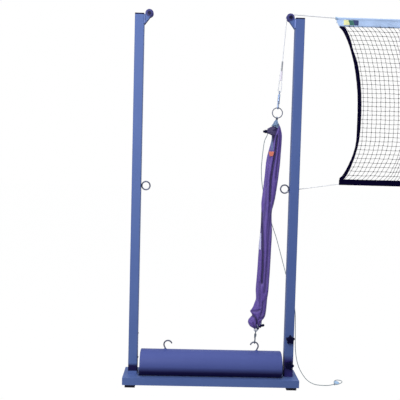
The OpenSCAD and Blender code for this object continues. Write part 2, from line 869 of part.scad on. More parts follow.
lash_d = 4;
lash_pitch = 4.6;
lash_turns = 2.5;
neck_r = 9.5;
lash_r = neck_r + lash_d / 2 + seat_gap;
lash_bend = ring_wire / 2 + lash_d / 2 + seat_gap;
lash_steps = 20;
lash_top = bag_top_s - 2;
lash_low = lash_top - lash_turns * lash_pitch;
lash_route = concat(
    [for (i = [0 : lash_turns * lash_steps]) let (a = 360 * i / lash_steps - 90)
        [lash_r * cos(a), lash_r * sin(a), lash_low + lash_pitch * i / lash_steps]],
    [[-4, lash_r - 0.5, lash_top + 3.5], [-3, 9, lash_top + 9], [-0.8, 5.5, lash_top + 15]],
    [for (i = [0 : 8]) let (a = 180 * i / 8) [0, lash_bend * cos(a), lash_wire_s + lash_bend * sin(a)]],
    [[0.8, -5.5, lash_top + 15], [3, -9, lash_top + 9], [4, -lash_r, lash_top + 3.2]]);
lash_gaps = [for (i = [0 : len(lash_route) - 1]) for (j = [i + 8 : 1 : len(lash_route) - 1])
    norm(lash_route[i] - lash_route[j]) - lash_d];
echo(lashing_gap = min(lash_gaps));

module neck_lashing() {
    color("#8fb2d8")
        on_line(0)
            tube(lash_route, lash_d, 8);
}

// Bag stations: height above the bag's bottom, middle off the line, half width and half depth
bag_stations = [
    [0, 0, 8, 7], [6, -2, 18, 14], [20, -4, 28, 22], [42, -6, 27, 22], [60, 2, 26, 19],
    [78, 4, 33, 20], [104, 10, 28, 19], [130, 10, 26, 19], [170, 10.5, 27, 20], [256, 8, 27, 21],
    [350, 6, 26, 20], [420, 1, 25, 19], [468, -2, 23, 18], [510, -3.5, 23, 17], [560, -2, 27, 19],
    [620, -1, 29, 21], [690, 2, 30, 22], [750, 4, 27, 22], [800, 4, 23, 20], [830, 3, 21, 18],
    [848, 1, 14, 13], [855, 0, 9.5, 9.5], [870, 0, 9.5, 9.5]];
bag_facets = 20;
bag_scale = bag_l / 870;

module bag() {
    rows = len(bag_stations);
    points = flat([for (q = bag_stations) [for (j = [0 : bag_facets - 1])
        let (a = 360 * j / bag_facets, w = q[2] > neck_r ? bag_w / 66 : 1)
            [w * (q[1] + q[2] * cos(a)), w * q[3] * sin(a), q[0] * bag_scale]]]);
    walls = flat(flat([for (i = [0 : rows - 2]) [for (j = [0 : bag_facets - 1])
        let (a = i * bag_facets + j, b = i * bag_facets + (j + 1) % bag_facets)
        quad(a, a + bag_facets, b + bag_facets, b)]]));
    bottom = [for (j = [1 : bag_facets - 2]) [0, j, j + 1]];
    top = [for (j = [1 : bag_facets - 2])
        [(rows - 1) * bag_facets, (rows - 1) * bag_facets + j + 1, (rows - 1) * bag_facets + j]];
    color(purple)
        on_line(bag_bottom_s)
            difference() {
                polyhedron(points, concat(walls, bottom, top));
                translate([0, 0, -1])
                    cylinder(d = strainer_d + 2 * seat_gap, h = bag_l + 2, $fn = 16);
                translate([0, 0, -1])
                    cylinder(r = 10, h = strainer_s - bag_bottom_s + 3, $fn = 16);
            }
}

module strainer() {
    color("#2b2f45")
        on_line(strainer_s)
            cylinder(d = strainer_d, h = bag_top_s - strainer_s + 1, $fn = 32);
}

// ---- cord lock and drawcord ----

lock_x = 208;
lock_z = 1077;
lock_d = 14;
lock_l = 17;
lock_bore_x = lock_x + lock_l / 2 - 4.5;
button_d = 9;
button_out = 6;
button_in = 4;

module cord_lock() {
    color(black)
        difference() {
            along_x(lock_x - lock_l / 2, 0, lock_z)
                cylinder(d = lock_d, h = lock_l);
            along_x(lock_x - lock_l / 2 - 1, 0, lock_z)
                cylinder(d = button_d + 2 * running, h = button_in + button_out - 0.5);
            translate([lock_bore_x, 0, lock_z - lock_d])
                cylinder(d = draw_cord_d + 2 * seat_gap, h = 2 * lock_d);
        }
}

module cord_lock_button() {
    color(black)
        along_x(lock_x - lock_l / 2 - button_out, 0, lock_z)
            cylinder(d = button_d, h = button_out + button_in);
}

draw_route = [
    [230, 0, 1087], [225, 0, 1090], [218, 0, 1091], [213, 0, 1089], [212, 0, 1084], [212, 0, 1077],
    [212, 0, 1067], [209, 1, 1057], [202, 6, 1040], [198, 12, 1008], [195, 18, 962], [194, 23, 918],
    [199, 28, 860], [212, 29, 800], [230, 28, 742], [247, 25, 684], [266, 22, 631], [286, 20.9, 565],
    [308, 20.9, 490], [330, 20.9, 415], [350, 20.9, 350], [358, 18, 310], [360, 14, 262], [361, 11, 210],
    [362, 9, 165], [366, 8, 127], [374, 7, 90], [390, 6, 54], [416, 4, 20], [446, 0, 3.5], [478, -8, 1.6],
    [508, -7, 1.8], [530.4, -1.3, 3.9]];
draw_points = smooth(draw_route, 3);
echo(drawcord_length = length_of(draw_points));

module drawcord() {
    color("#b9c8c4")
        tube(draw_points, draw_cord_d, 8);
}

knot_route = [
    [539.6, 1, 3.6], [548, 5, 1.8], [566, 18, 1.7], [578, 36, 1.7], [576, 50, 1.7], [562, 56, 1.7],
    [548, 46, 1.7], [541, 28, 1.7], [538, 12, 1.9], [536.3, 3.8, 3.6]];

module drawcord_knot() {
    color("#8fb2d8") {
        translate([535, -1, 4.6])
            sphere(d = 9);
        tube(smooth(knot_route, 3), draw_cord_d, 8);
    }
}

cross_foot(-1);  // left_cross_foot
cross_foot(1);  // right_cross_foot
rail(-1);  // front_rail
rail(1);  // rear_rail
foot_end_plates();
rubber_feet();
spigot(-1);  // left_spigot
spigot(1);  // right_spigot
drum_shell();
drum_end_plates();
drum_ballast();
drum_saddles();
hook_bosses();
ballast_hook(-1);  // left_ballast_hook
ballast_hook(1);  // right_ballast_hook
upright(-1);  // left_upright
top_cap(-1);  // left_top_cap
pulley_cheeks(-1);  // left_pulley_cheeks
pulley_bolt(-1);  // left_pulley_bolt
pulley_wheel(-1);  // left_pulley_wheel
eye(-1);  // left_eye
clamp_nuts(-1);  // left_clamp_nuts
knob(-1, upper_knob_z, 0);  // left_upper_knob
knob(-1, lower_knob_z, 18);  // left_lower_knob
upright(1);  // right_upright
top_cap(1);  // right_top_cap
pulley_cheeks(1);  // right_pulley_cheeks
pulley_bolt(1);  // right_pulley_bolt
pulley_wheel(1);  // right_pulley_wheel
eye(1);  // right_eye
clamp_nuts(1);  // right_clamp_nuts
knob(1, upper_knob_z, 0);  // right_upper_knob
knob(1, lower_knob_z, 18);  // right_lower_knob
net_mesh();
head_tape();
side_band(0);  // near_side_band
side_band(1);  // far_side_band
foot_band();
head_cord();
foot_cord();
cord_sleeves();
near_loop();
far_loops();
on_line(upper_snap_s, 90) snap_eye(upper_barrel_l);  // upper_snap_eye
on_line(upper_snap_s, upper_snap_turn) snap_hook(upper_barrel_l);  // upper_snap_hook
on_line(upper_snap_s, upper_snap_turn) snap_gate();  // upper_snap_gate
line_ring();
neck_lashing();
bag();
strainer();
cord_lock();
cord_lock_button();
drawcord();
drawcord_knot();
lower_ring();
on_line(0, 90) snap_eye(lower_barrel_l);  // lower_snap_eye
on_line(0, 90) snap_hook(lower_barrel_l);  // lower_snap_hook
on_line(0, 90) snap_gate();  // lower_snap_gate
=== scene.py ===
import random
from math import acos, atan2, copysign, cos, exp, hypot, inf, pi, radians, sin, sqrt, tan, tau

import bmesh
import bpy
from mathutils import Matrix, Vector, noise


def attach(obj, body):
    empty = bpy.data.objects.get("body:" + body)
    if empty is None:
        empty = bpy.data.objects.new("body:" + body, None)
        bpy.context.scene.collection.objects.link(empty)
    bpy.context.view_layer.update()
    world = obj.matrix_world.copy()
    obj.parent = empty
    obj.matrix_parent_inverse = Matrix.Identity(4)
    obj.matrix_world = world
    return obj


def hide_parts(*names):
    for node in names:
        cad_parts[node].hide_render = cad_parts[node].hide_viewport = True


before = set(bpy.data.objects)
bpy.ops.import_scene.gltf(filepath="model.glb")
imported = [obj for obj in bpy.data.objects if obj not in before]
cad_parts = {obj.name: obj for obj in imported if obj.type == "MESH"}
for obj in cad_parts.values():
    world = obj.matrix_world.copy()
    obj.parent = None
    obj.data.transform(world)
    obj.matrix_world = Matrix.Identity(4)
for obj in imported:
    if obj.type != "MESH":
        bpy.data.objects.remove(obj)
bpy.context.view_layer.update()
random.seed(7)

MM = 0.001
ALONG_NET = Vector((1, 0, 0))
ACROSS_NET = Vector((0, 1, 0))
WHITE = (1, 1, 1, 1)

# Places in millimetres: X along the net from the stand's middle, Z up from the floor
POST_X, POST_HALF = 331, 19
AXLE_X, AXLE_Z = 291.5, 1548
HOOK_X, HOOK_Z = 185, 175.868
BOSS_X = 194.93
HEAD_CORD_Z, FOOT_CORD_Z = 1553.5, 864.2
NET_TOP, NET_FOOT = 1520.5, 885.0
NET_START, NET_LENGTH = 500, 410
TAPE_START, TAPE_END = 480, 930
# Where each far loop leaves its sleeve: X, Z and the cord's thickness
FAR_LOOPS = ((978, HEAD_CORD_Z, 4), (940, FOOT_CORD_Z, 3))


def put_in(name, data):
    thing = bpy.data.objects.new(name, data)
    bpy.context.scene.collection.objects.link(thing)
    return thing


def mesh_of(name, bm):
    mesh = bpy.data.meshes.new(name)
    bm.to_mesh(mesh)
    bm.free()
    return mesh


def held(value, low=0.0, high=1.0):
    """A value kept between two limits."""
    return max(low, min(high, value))


# ---- camera, floor and light ----

def place_camera():
    place = (-0.110276, -2.3, 0.901427)
    yaw, pitch, roll = 0.0203, -0.0514, 0.0260
    ahead = Vector((sin(yaw) * cos(pitch), cos(yaw) * cos(pitch), sin(pitch)))
    level = Vector((cos(yaw), -sin(yaw), 0))
    upright = level.cross(ahead)
    right = level * cos(roll) + upright * sin(roll)
    up = upright * cos(roll) - level * sin(roll)
    data = bpy.data.cameras.new("camera")
    data.lens, data.sensor_width = 49.3, 36
    camera = put_in("camera", data)
    turn = Matrix((right, up, -ahead)).transposed().to_4x4()
    camera.matrix_world = Matrix.Translation(place) @ turn
    bpy.context.scene.camera = camera


def paint(code):
    """An sRGB hex colour turned linear."""
    parts = [int(code[i:i + 2], 16) / 255 for i in (1, 3, 5)]
    return (*[c / 12.92 if c <= 0.04045 else ((c + 0.055) / 1.055) ** 2.4 for c in parts], 1)


def add(tree, kind, inputs=None, **settings):
    """Adds a shader node with its settings, values and links, and gives its outputs."""
    node = tree.nodes.new("ShaderNode" + kind)
    for key, value in settings.items():
        setattr(node, key, value)
    for key, value in (inputs or {}).items():
        if isinstance(value, bpy.types.NodeSocket):
            tree.links.new(value, node.inputs[key])
        else:
            node.inputs[key].default_value = value
    return node.outputs


def seen_directly(tree):
    """1 where the eye, a reflection or a view through glass meets the surface, else 0."""
    path = add(tree, "LightPath")
    mirror = add(tree, "Math", {0: path["Is Glossy Ray"], 1: path["Is Transmission Ray"]},
                 operation="MAXIMUM")[0]
    return add(tree, "Math", {0: path["Is Camera Ray"], 1: mirror}, operation="MAXIMUM")[0]


def light_studio():
    world = bpy.data.worlds.new("studio")
    bpy.context.scene.world = world
    world.use_nodes = True
    tree = world.node_tree
    tree.nodes.clear()
    lit = add(tree, "Background", {"Color": (0.97, 0.98, 1, 1), "Strength": 0.54})
    seen = add(tree, "Background", {"Color": WHITE})
    mix = add(tree, "MixShader", {0: seen_directly(tree), 1: lit[0], 2: seen[0]})
    add(tree, "OutputWorld", {0: mix[0]})
    for name, place, aim, power, size in (
            ("key", (-1.0, -2.1, 1.6), (0, 0, 0.8), 48, 1.2),
            ("overhead", (0.1, -0.5, 3.1), (0.1, 0, 0), 24, 1.4),
            ("fill", (2.4, 1.9, 2.2), (0.1, 0, 0.8), 13, 1.8)):
        data = bpy.data.lights.new(name, "AREA")
        data.energy, data.size = power, size
        away = Vector(place) - Vector(aim)
        turn = away.to_track_quat("Z", "Y").to_matrix().to_4x4()
        put_in(name, data).matrix_world = Matrix.Translation(place) @ turn


def lay_floor():
    bm = bmesh.new()
    bmesh.ops.create_grid(bm, x_segments=1, y_segments=1, size=30)
    floor = put_in("floor", mesh_of("floor", bm))
    # Matt white studio floor: a pale sheet that keeps only a soft trace of the shadow
    material = bpy.data.materials.new("matt_white_floor")
    material.use_nodes = True
    tree = material.node_tree
    tree.nodes.clear()
    matt = add(tree, "BsdfDiffuse", {"Color": paint("#585a5f")})
    white = add(tree, "Emission", {"Color": WHITE, "Strength": 1.102})
    share = add(tree, "Math", {0: seen_directly(tree), 1: 0.9}, operation="MULTIPLY")
    mix = add(tree, "MixShader", {0: share[0], 1: matt[0], 2: white[0]})
    add(tree, "OutputMaterial", {0: mix[0]})
    floor.data.materials.append(material)


# ---- materials ----

def surface(name, roughness, metallic=0.0, **sockets):
    """A new material with its plain values on the shader's own sockets."""
    material = bpy.data.materials.new(name)
    material.use_nodes = True
    tree = material.node_tree
    for key, value in {"Roughness": roughness, "Metallic": metallic, **sockets}.items():
        tree.nodes["Principled BSDF"].inputs[key.replace("_", " ")].default_value = value
    return material, tree


def in_millimetres(tree, size=1.0):
    """The place on the object, counted in steps of a size in millimetres."""
    place = add(tree, "TexCoord")["Object"]
    return add(tree, "Mapping", {0: place, 3: (1000 / size,) * 3})[0]


def coloured(tree, tone):
    tree.links.new(tone, tree.nodes["Principled BSDF"].inputs["Base Color"])


def two_tones(tree, share, first, second):
    """Colours the surface from the first tone to the second as the share goes from 0 to 1."""
    tone = add(tree, "Mix", {0: share, 6: paint(first), 7: paint(second)}, data_type="RGBA")[2]
    coloured(tree, tone)
    return tone


def relief(tree, height, depth):
    """Raises the surface by a pattern's height, in millimetres."""
    raised = add(tree, "Bump", {"Height": height, "Distance": depth * MM})[0]
    tree.links.new(raised, tree.nodes["Principled BSDF"].inputs["Normal"])


def ridges(tree, place, *sets):
    """Rows of ridges from -1 to 1, which cross where there are two sets; each set is its two wave numbers."""
    height = None
    for count in sets:
        run = add(tree, "VectorMath", {0: place, 1: (*count, 0)}, operation="DOT_PRODUCT")["Value"]
        wave = add(tree, "Math", {0: run}, operation="SINE")[0]
        height = add(tree, "Math", {0: height, 1: wave}, operation="MULTIPLY")[0] if height else wave
    return height


def mottled(name, first, second, patch_size, detail, depth, **finish):
    """A surface whose two tones and relief follow one random pattern."""
    material, tree = surface(name, **finish)
    place = in_millimetres(tree, patch_size)
    pattern = add(tree, "TexNoise", {"Vector": place, "Scale": 1, "Detail": detail})[0]
    two_tones(tree, pattern, first, second)
    relief(tree, pattern, depth)
    return material


def cord_skin(name, first, second, *sets, depth, roughness, sheen):
    """A surface whose two tones and relief follow ridges along and round a cord."""
    material, tree = surface(name, roughness, Sheen_Weight=sheen, Sheen_Roughness=0.5)
    height = ridges(tree, add(tree, "UVMap")[0], *sets)
    share = add(tree, "MapRange", {0: height, 1: -1, 2: 1})[0]
    two_tones(tree, share, first, second)
    relief(tree, share, depth)
    return material


def powder_coat(name, first, second, painted_shade=None, dark_rim=None):
    # Powder-coated steel, sprayed and baked: a satin blue skin, a faint orange peel and soft shade changes
    material, tree = surface(name, 0.5, Specular_IOR_Level=0.12)
    # Orange peel is 1 to 2 mm across; 3 mm here so that it shows
    peel = add(tree, "TexNoise", {"Vector": in_millimetres(tree, 3), "Scale": 1, "Detail": 2})
    relief(tree, peel[0], 0.06)
    drift = add(tree, "TexNoise", {"Vector": in_millimetres(tree, 160), "Scale": 1, "Detail": 3})
    tone = two_tones(tree, drift[0], first, second)
    height = add(tree, "SeparateXYZ", {0: in_millimetres(tree)})[2]
    if painted_shade:
        # Painted shade: from the foot up to the top the paint is darkened almost to black, fading out above
        foot, top, fade, shade_colour = painted_shade
        upper = add(tree, "MapRange", {0: height, 1: top, 2: top + fade, 3: 1.0, 4: 0.0})[0]
        lower = add(tree, "MapRange", {0: height, 1: foot - 2, 2: foot})[0]
        share = add(tree, "Math", {0: upper, 1: lower}, operation="MULTIPLY")[0]
        tone = add(tree, "Mix", {0: share, 6: tone, 7: paint(shade_colour)}, data_type="RGBA")[2]
    if dark_rim:
        # The rim just under the cap is as dark as the cap
        share = add(tree, "MapRange", {0: height, 1: dark_rim, 2: dark_rim + 0.5})[0]
        tone = add(tree, "Mix", {0: share, 6: tone, 7: paint("#0c0c30")}, data_type="RGBA")[2]
    coloured(tree, tone)
    return material


def zinc_plate(name, first, second):
    # Zinc-plated steel wire: a cold metal with small dull patches where the plating crystallised
    material, tree = surface(name, 0.34, 1.0)
    crystals = add(tree, "TexVoronoi", {"Vector": in_millimetres(tree, 1.6), "Scale": 1})
    two_tones(tree, crystals["Distance"], first, second)
    grain = add(tree, "TexNoise", {"Vector": in_millimetres(tree, 0.8), "Scale": 1, "Detail": 2})
    relief(tree, grain[0], 0.03)
    return material


def dark_wire():
    # Blackened steel wire under thin lacquer: dark slate with a soft shine and slightly rubbed places
    return mottled("lacquered_dark_steel_wire", "#3c4054", "#5b6076", 9, 3, depth=0.05, roughness=0.38,
                   metallic=0.6)


def black_oxide():
    # Black-oxide bolts and nuts: oily black metal with turned marks
    return mottled("black_oxide_steel", "#0d0d20", "#1c1d33", 1.2, 3, depth=0.03, roughness=0.42,
                   metallic=0.9)


def moulded_nylon(name, first, second, gloss=0.14):
    # Injection-moulded nylon: a satin skin with the fine grain of a spark-eroded mould
    return mottled(name, first, second, 0.9, 2, depth=0.05, roughness=0.45, Specular_IOR_Level=gloss)


def foot_rubber():
    # Moulded rubber: matt near-black with a dusty bloom
    material, tree = surface("moulded_rubber", 0.82, Specular_IOR_Level=0.15)
    bloom = add(tree, "TexNoise", {"Vector": in_millimetres(tree, 12), "Scale": 1, "Detail": 5})
    two_tones(tree, bloom[0], "#0f0e16", "#211f2a")
    grain = add(tree, "TexNoise", {"Vector": in_millimetres(tree), "Scale": 1, "Detail": 2})
    relief(tree, grain[0], 0.08)
    return material


def cast_concrete():
    # Cast concrete ballast: grey paste with pale grit and small air holes
    material, tree = surface("cast_concrete", 0.9)
    grit = add(tree, "TexVoronoi", {"Vector": in_millimetres(tree, 6), "Scale": 1})["Distance"]
    two_tones(tree, grit, "#7d7b74", "#a8a69d")
    relief(tree, grit, 0.4)
    return material


def braid(name, first, second, pitch, strands):
    # Braided cord: crossing strands that run round the cord, pale on their backs and darker between
    along, turns = tau * 1000 / pitch, tau * strands
    return cord_skin(name, first, second, (along, turns), (along, -turns), depth=0.25, roughness=0.75,
                     sheen=0.2)


def wound_thread(name, first, second, pitch):
    # Thread whipped tightly round a cord: fine ridges side by side with dark gaps
    along = tau * 1000 / pitch
    return cord_skin(name, first, second, (along, tau), depth=0.35, roughness=0.7, sheen=0.15)


def woven_band(name, first, second, thread=1.6, seams=(), sheen=0.3, gloss=0.4):
    # Woven polyester band: flat threads over and under, a soft sheen, and lines of lockstitch along it
    material, tree = surface(name, 0.72, Sheen_Weight=sheen, Sheen_Roughness=0.4, Specular_IOR_Level=gloss)
    axes = add(tree, "SeparateXYZ", {0: in_millimetres(tree)})
    flat = add(tree, "CombineXYZ", {0: axes[0], 1: axes[2]})[0]
    threads = tau / thread
    weave = ridges(tree, flat, (threads, 0), (0, threads))
    height = add(tree, "MapRange", {0: weave, 1: -1, 2: 1})[0]
    fade = add(tree, "TexNoise", {"Vector": in_millimetres(tree, 30), "Scale": 1, "Detail": 3})
    share = add(tree, "Math", {0: height, 1: fade[0]}, operation="MULTIPLY")[0]
    two_tones(tree, share, first, second)
    stitch_length, stitch_half = 5, 0.7
    for z in seams:
        near = add(tree, "Math", {0: axes[2], 1: z, 2: stitch_half}, operation="COMPARE")[0]
        beat = add(tree, "Math", {0: axes[0], 1: tau / stitch_length}, operation="MULTIPLY")[0]
        dash = add(tree, "Math", {0: beat}, operation="SINE")[0]
        on = add(tree, "Math", {0: dash, 1: -0.5}, operation="GREATER_THAN")[0]
        stitch = add(tree, "Math", {0: near, 1: on}, operation="MULTIPLY")[0]
        height = add(tree, "Math", {0: stitch, 1: 2.0, 2: height}, operation="MULTIPLY_ADD")[0]
    relief(tree, height, 0.18)
    return material


def knotted_twine():
    # Twisted nylon net twine, tarred dark grey: a rope-like twist and a dull shine
    material, tree = surface("tarred_net_twine", 0.6, Specular_IOR_Level=0.12)
    twist = add(tree, "TexWave", {"Vector": in_millimetres(tree, 1.4), "Scale": 0.3, "Distortion": 0.5},
                bands_direction="DIAGONAL")["Fac"]
    two_tones(tree, twist, "#14161d", "#262a33")
    relief(tree, twist, 0.15)
    return material


def bag_nylon():
    # Thin purple nylon taffeta: light on the ridges, with painted shade that makes it ink-dark in the folds,
    # and a soft silky sheen
    material, tree = surface("purple_nylon_taffeta", 0.5, Sheen_Weight=0.35, Sheen_Roughness=0.35,
                             Sheen_Tint=paint("#9a86d8"))
    fade = add(tree, "TexNoise", {"Vector": in_millimetres(tree, 26), "Scale": 1, "Detail": 4})
    tone = two_tones(tree, fade[0], "#4d388b", "#634da1")
    # Painted shade: the fold attribute tints the cloth ink-dark where it lies deep in a fold
    for part, code in (("painted_fold_shade", "#180b42"), ("lining", "#55628f")):
        share = add(tree, "Attribute", attribute_name=part)["Fac"]
        tone = add(tree, "Mix", {0: share, 6: tone, 7: paint(code)}, data_type="RGBA")[2]
    coloured(tree, tone)
    # Taffeta has 3 or 4 threads a millimetre; one each millimetre here so that the weave shows
    run = add(tree, "UVMap")[0]
    threads_a_metre, threads_round = 1000, 150
    weave = ridges(tree, run, (tau * threads_a_metre, 0), (0, tau * threads_round))
    crush = add(tree, "TexNoise", {"Vector": in_millimetres(tree, 7), "Scale": 1, "Detail": 3})
    height = add(tree, "Math", {0: crush[0], 1: 6.0, 2: weave}, operation="MULTIPLY_ADD")
    relief(tree, height[0], 0.12)
    return material


def label_weave():
    # Damask-woven label with three plain slanting blocks of colour and a fine rib
    material, tree = surface("woven_label", 0.65, Sheen_Weight=0.2, Sheen_Roughness=0.4)
    axes = add(tree, "SeparateXYZ", {0: in_millimetres(tree)})
    lean, middle, rib_pitch = 0.35, 1538, 1.2
    slant = add(tree, "Math", {0: axes[2], 1: lean, 2: axes[0]}, operation="MULTIPLY_ADD")[0]
    tone = paint("#ecedb0")
    for start, code in ((536, "#2f6b62"), (556, "#26376b")):
        past = add(tree, "Math", {0: slant, 1: start + lean * middle}, operation="GREATER_THAN")[0]
        tone = add(tree, "Mix", {0: past, 6: tone, 7: paint(code)}, data_type="RGBA")[2]
    coloured(tree, tone)
    turn = add(tree, "Math", {0: axes[2], 1: tau / rib_pitch}, operation="MULTIPLY")[0]
    relief(tree, add(tree, "Math", {0: turn}, operation="SINE")[0], 0.1)
    return material


# ---- making shapes ----

def round_at(radius, angle):
    return radius * cos(angle), radius * sin(angle)


def hump(u, middle, width):
    """A smooth rise to 1 about a middle."""
    return exp(-((u - middle) / width) ** 2)


def fuller(value, power):
    """A value from -1 to 1 raised to a power that keeps its sign, which squares a round section up."""
    return copysign(abs(value) ** power, value)


def ripple(x, y, z):
    """A smooth random height, between about -1 and 1."""
    return noise.noise(Vector((x, y, z)))


def along_path(points, step, turns=8):
    """An evenly stepped smooth line through chosen points, given in millimetres."""
    pts = [Vector(p) for p in points]
    fine = []
    for i in range(len(pts) - 1):
        a, b = pts[max(i - 1, 0)], pts[i]
        c, d = pts[i + 1], pts[min(i + 2, len(pts) - 1)]
        for k in range(turns):
            t = k / turns
            fine.append(0.5 * (2 * b + (c - a) * t + (2 * a - 5 * b + 4 * c - d) * t ** 2
                               + (3 * b - a - 3 * c + d) * t ** 3))
    fine.append(pts[-1])
    return stepped(fine, step)


def stepped(points, step):
    """A line of straight runs cut into even steps, turned from millimetres to metres."""
    pts = [Vector(p) for p in points]
    total = sum((b - a).length for a, b in zip(pts, pts[1:]))
    count = max(2, round(total / step))
    out = [pts[0] * MM]
    i, left, here = 0, total / count, pts[0]
    while len(out) < count:
        run = (pts[i + 1] - here).length
        if run < left:
            left -= run
            i += 1
            here = pts[i]
        else:
            here = here + (pts[i + 1] - here).normalized() * left
            out.append(here * MM)
            left = total / count
    out.append(pts[-1] * MM)
    return out


def sweep(path, shape, sides, across=None):
    """A ring extruded from point to point of a path. shape(i, j) gives the three offsets, in millimetres,
    of the ring's point j at the path's point i: along `across`, along the third direction and along the path.
    The UV map is the length run and the turn."""
    bm = bmesh.new()
    spoke = bm.verts.layers.int.new("spoke")
    station = bm.verts.layers.int.new("station")
    uv = bm.loops.layers.uv.new("UVMap")
    ring = bmesh.ops.create_circle(bm, segments=sides, radius=1)["verts"]
    for j, vert in enumerate(ring):
        vert[spoke] = j
    rim = list(bm.edges)
    side, run, runs = None, 0.0, []
    for i, point in enumerate(path):
        ahead = (path[min(i + 1, len(path) - 1)] - path[max(i - 1, 0)]).normalized()
        start = across if across is not None else side or ahead.orthogonal()
        side = (start - ahead * start.dot(ahead)).normalized()
        third = ahead.cross(side)
        if i:
            made = bmesh.ops.extrude_edge_only(bm, edges=rim)["geom"]
            ring = [g for g in made if isinstance(g, bmesh.types.BMVert)]
            rim = [g for g in made if isinstance(g, bmesh.types.BMEdge) and g.is_boundary]
            run += (point - path[i - 1]).length
        runs.append(run)
        for vert in ring:
            a, b, c = shape(i, vert[spoke])
            vert.co = point + (side * a + third * b + ahead * c) * MM
            vert[station] = i
    bmesh.ops.holes_fill(bm, edges=[e for e in bm.edges if e.is_boundary], sides=sides)
    for face in bm.faces:
        turns = {loop.vert[spoke] for loop in face.loops}
        wraps = len(face.verts) < 5 and 0 in turns and sides - 1 in turns
        for loop in face.loops:
            j = loop.vert[spoke]
            loop[uv].uv = (runs[loop.vert[station]], (sides if wraps and j == 0 else j) / sides)
    return bm


def round_sweep(path, radius, sides, across=None, wide=1.0, deep=1.0):
    """A sweep whose ring has the radius that radius(i, angle) gives, times wide and deep."""
    def shape(i, j):
        a = tau * j / sides
        r = radius(i, a)
        return r * wide * cos(a), r * deep * sin(a), 0
    return sweep(path, shape, sides, across)


def tube(path, diameter, sides=10, ends=False):
    """A plain cord; its last rings close to a small round end where ends is true."""
    def radius(i, a):
        near = min(i, len(path) - 1 - i)
        return diameter / 2 * ((0.35, 0.75, 0.95)[near] if ends and near < 3 else 1)
    return round_sweep(path, radius, sides)


def together(parts):
    whole = bmesh.new()
    for part in parts:
        mesh = mesh_of("part", part)
        whole.from_mesh(mesh)
        bpy.data.meshes.remove(mesh)
    return whole


def turned(profile, place, axis, segments=32):
    """A profile of (radius, height) points spun about an axis, in millimetres."""
    bm = bmesh.new()
    turn = Vector(axis).to_track_quat("Z", "Y").to_matrix().to_4x4()
    verts = [bm.verts.new((r * MM, 0, h * MM)) for r, h in profile]
    edges = [bm.edges.new(pair) for pair in zip(verts, verts[1:])]
    bmesh.ops.spin(bm, geom=verts + edges, cent=(0, 0, 0), axis=(0, 0, 1), angle=tau,
                   steps=segments, use_merge=True)
    bmesh.ops.remove_doubles(bm, verts=bm.verts, dist=1e-6)
    bmesh.ops.transform(bm, matrix=Matrix.Translation(Vector(place) * MM) @ turn, verts=bm.verts)
    return bm


def patch(columns, rows, thickness, place):
    """A small sheet of cloth. place gives each point of a square from -1 to 1, in millimetres."""
    bm = bmesh.new()
    bmesh.ops.create_grid(bm, x_segments=columns, y_segments=rows, size=1)
    for vert in bm.verts:
        vert.co = Vector(place(vert.co.x, vert.co.y)) * MM
    bmesh.ops.solidify(bm, geom=bm.faces, thickness=thickness * MM)
    return bm


def piece(name, bm, material, slot, *stands_for, body="base", sharp=180):
    """Keeps a finished shape as a piece that rides on a body and stands for its nodes."""
    bmesh.ops.recalc_face_normals(bm, faces=bm.faces)
    mesh = mesh_of(name, bm)
    mesh.shade_smooth()
    if sharp < 180:
        mesh.set_sharp_from_angle(angle=radians(sharp))
    mesh.materials.append(material)
    thing = put_in(name, mesh)
    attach(thing, body)
    if stands_for:
        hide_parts(*stands_for)
    return thing


def value_at(table, z, column):
    """A smooth value between the rows of a table whose first column falls."""
    rows = len(table)
    i = 0
    while i < rows - 2 and z < table[i + 1][0]:
        i += 1
    a, b = table[i], table[i + 1]
    before, after = table[max(i - 1, 0)], table[min(i + 2, rows - 1)]
    h = a[0] - b[0]
    t = held((a[0] - z) / h)
    slope_a = (b[column] - before[column]) / (before[0] - b[0]) if i else (b[column] - a[column]) / h
    slope_b = (after[column] - a[column]) / (a[0] - after[0])
    return ((2 * t ** 3 - 3 * t * t + 1) * a[column] + (t ** 3 - 2 * t * t + t) * h * slope_a
            + (3 * t * t - 2 * t ** 3) * b[column] + (t ** 3 - t * t) * h * slope_b)


# ---- the tension line ----

TILT = radians(3.83453)


def on_line(s, out=0.0, y=0.0):
    """A point of the straight line from the ballast hook to the pulley, in millimetres."""
    return Vector((HOOK_X + s * sin(TILT) + out * cos(TILT), y,
                   HOOK_Z + s * cos(TILT) - out * sin(TILT)))


def line_x(z):
    return HOOK_X + (z - HOOK_Z) * tan(TILT)


def loop_round(length, radius, gap):
    """The two strands and the bend of a cord loop, as (run, offset) pairs."""
    straight = 3
    reach = length - straight
    turn = atan2(gap, -reach) - acos(radius / hypot(reach, gap))
    bend = [round_at(radius, turn * (1 - i / 10)) for i in range(21)]
    return [(0, gap), (straight, gap)] + [(length + x, z) for x, z in bend] + [(straight, -gap), (0, -gap)]


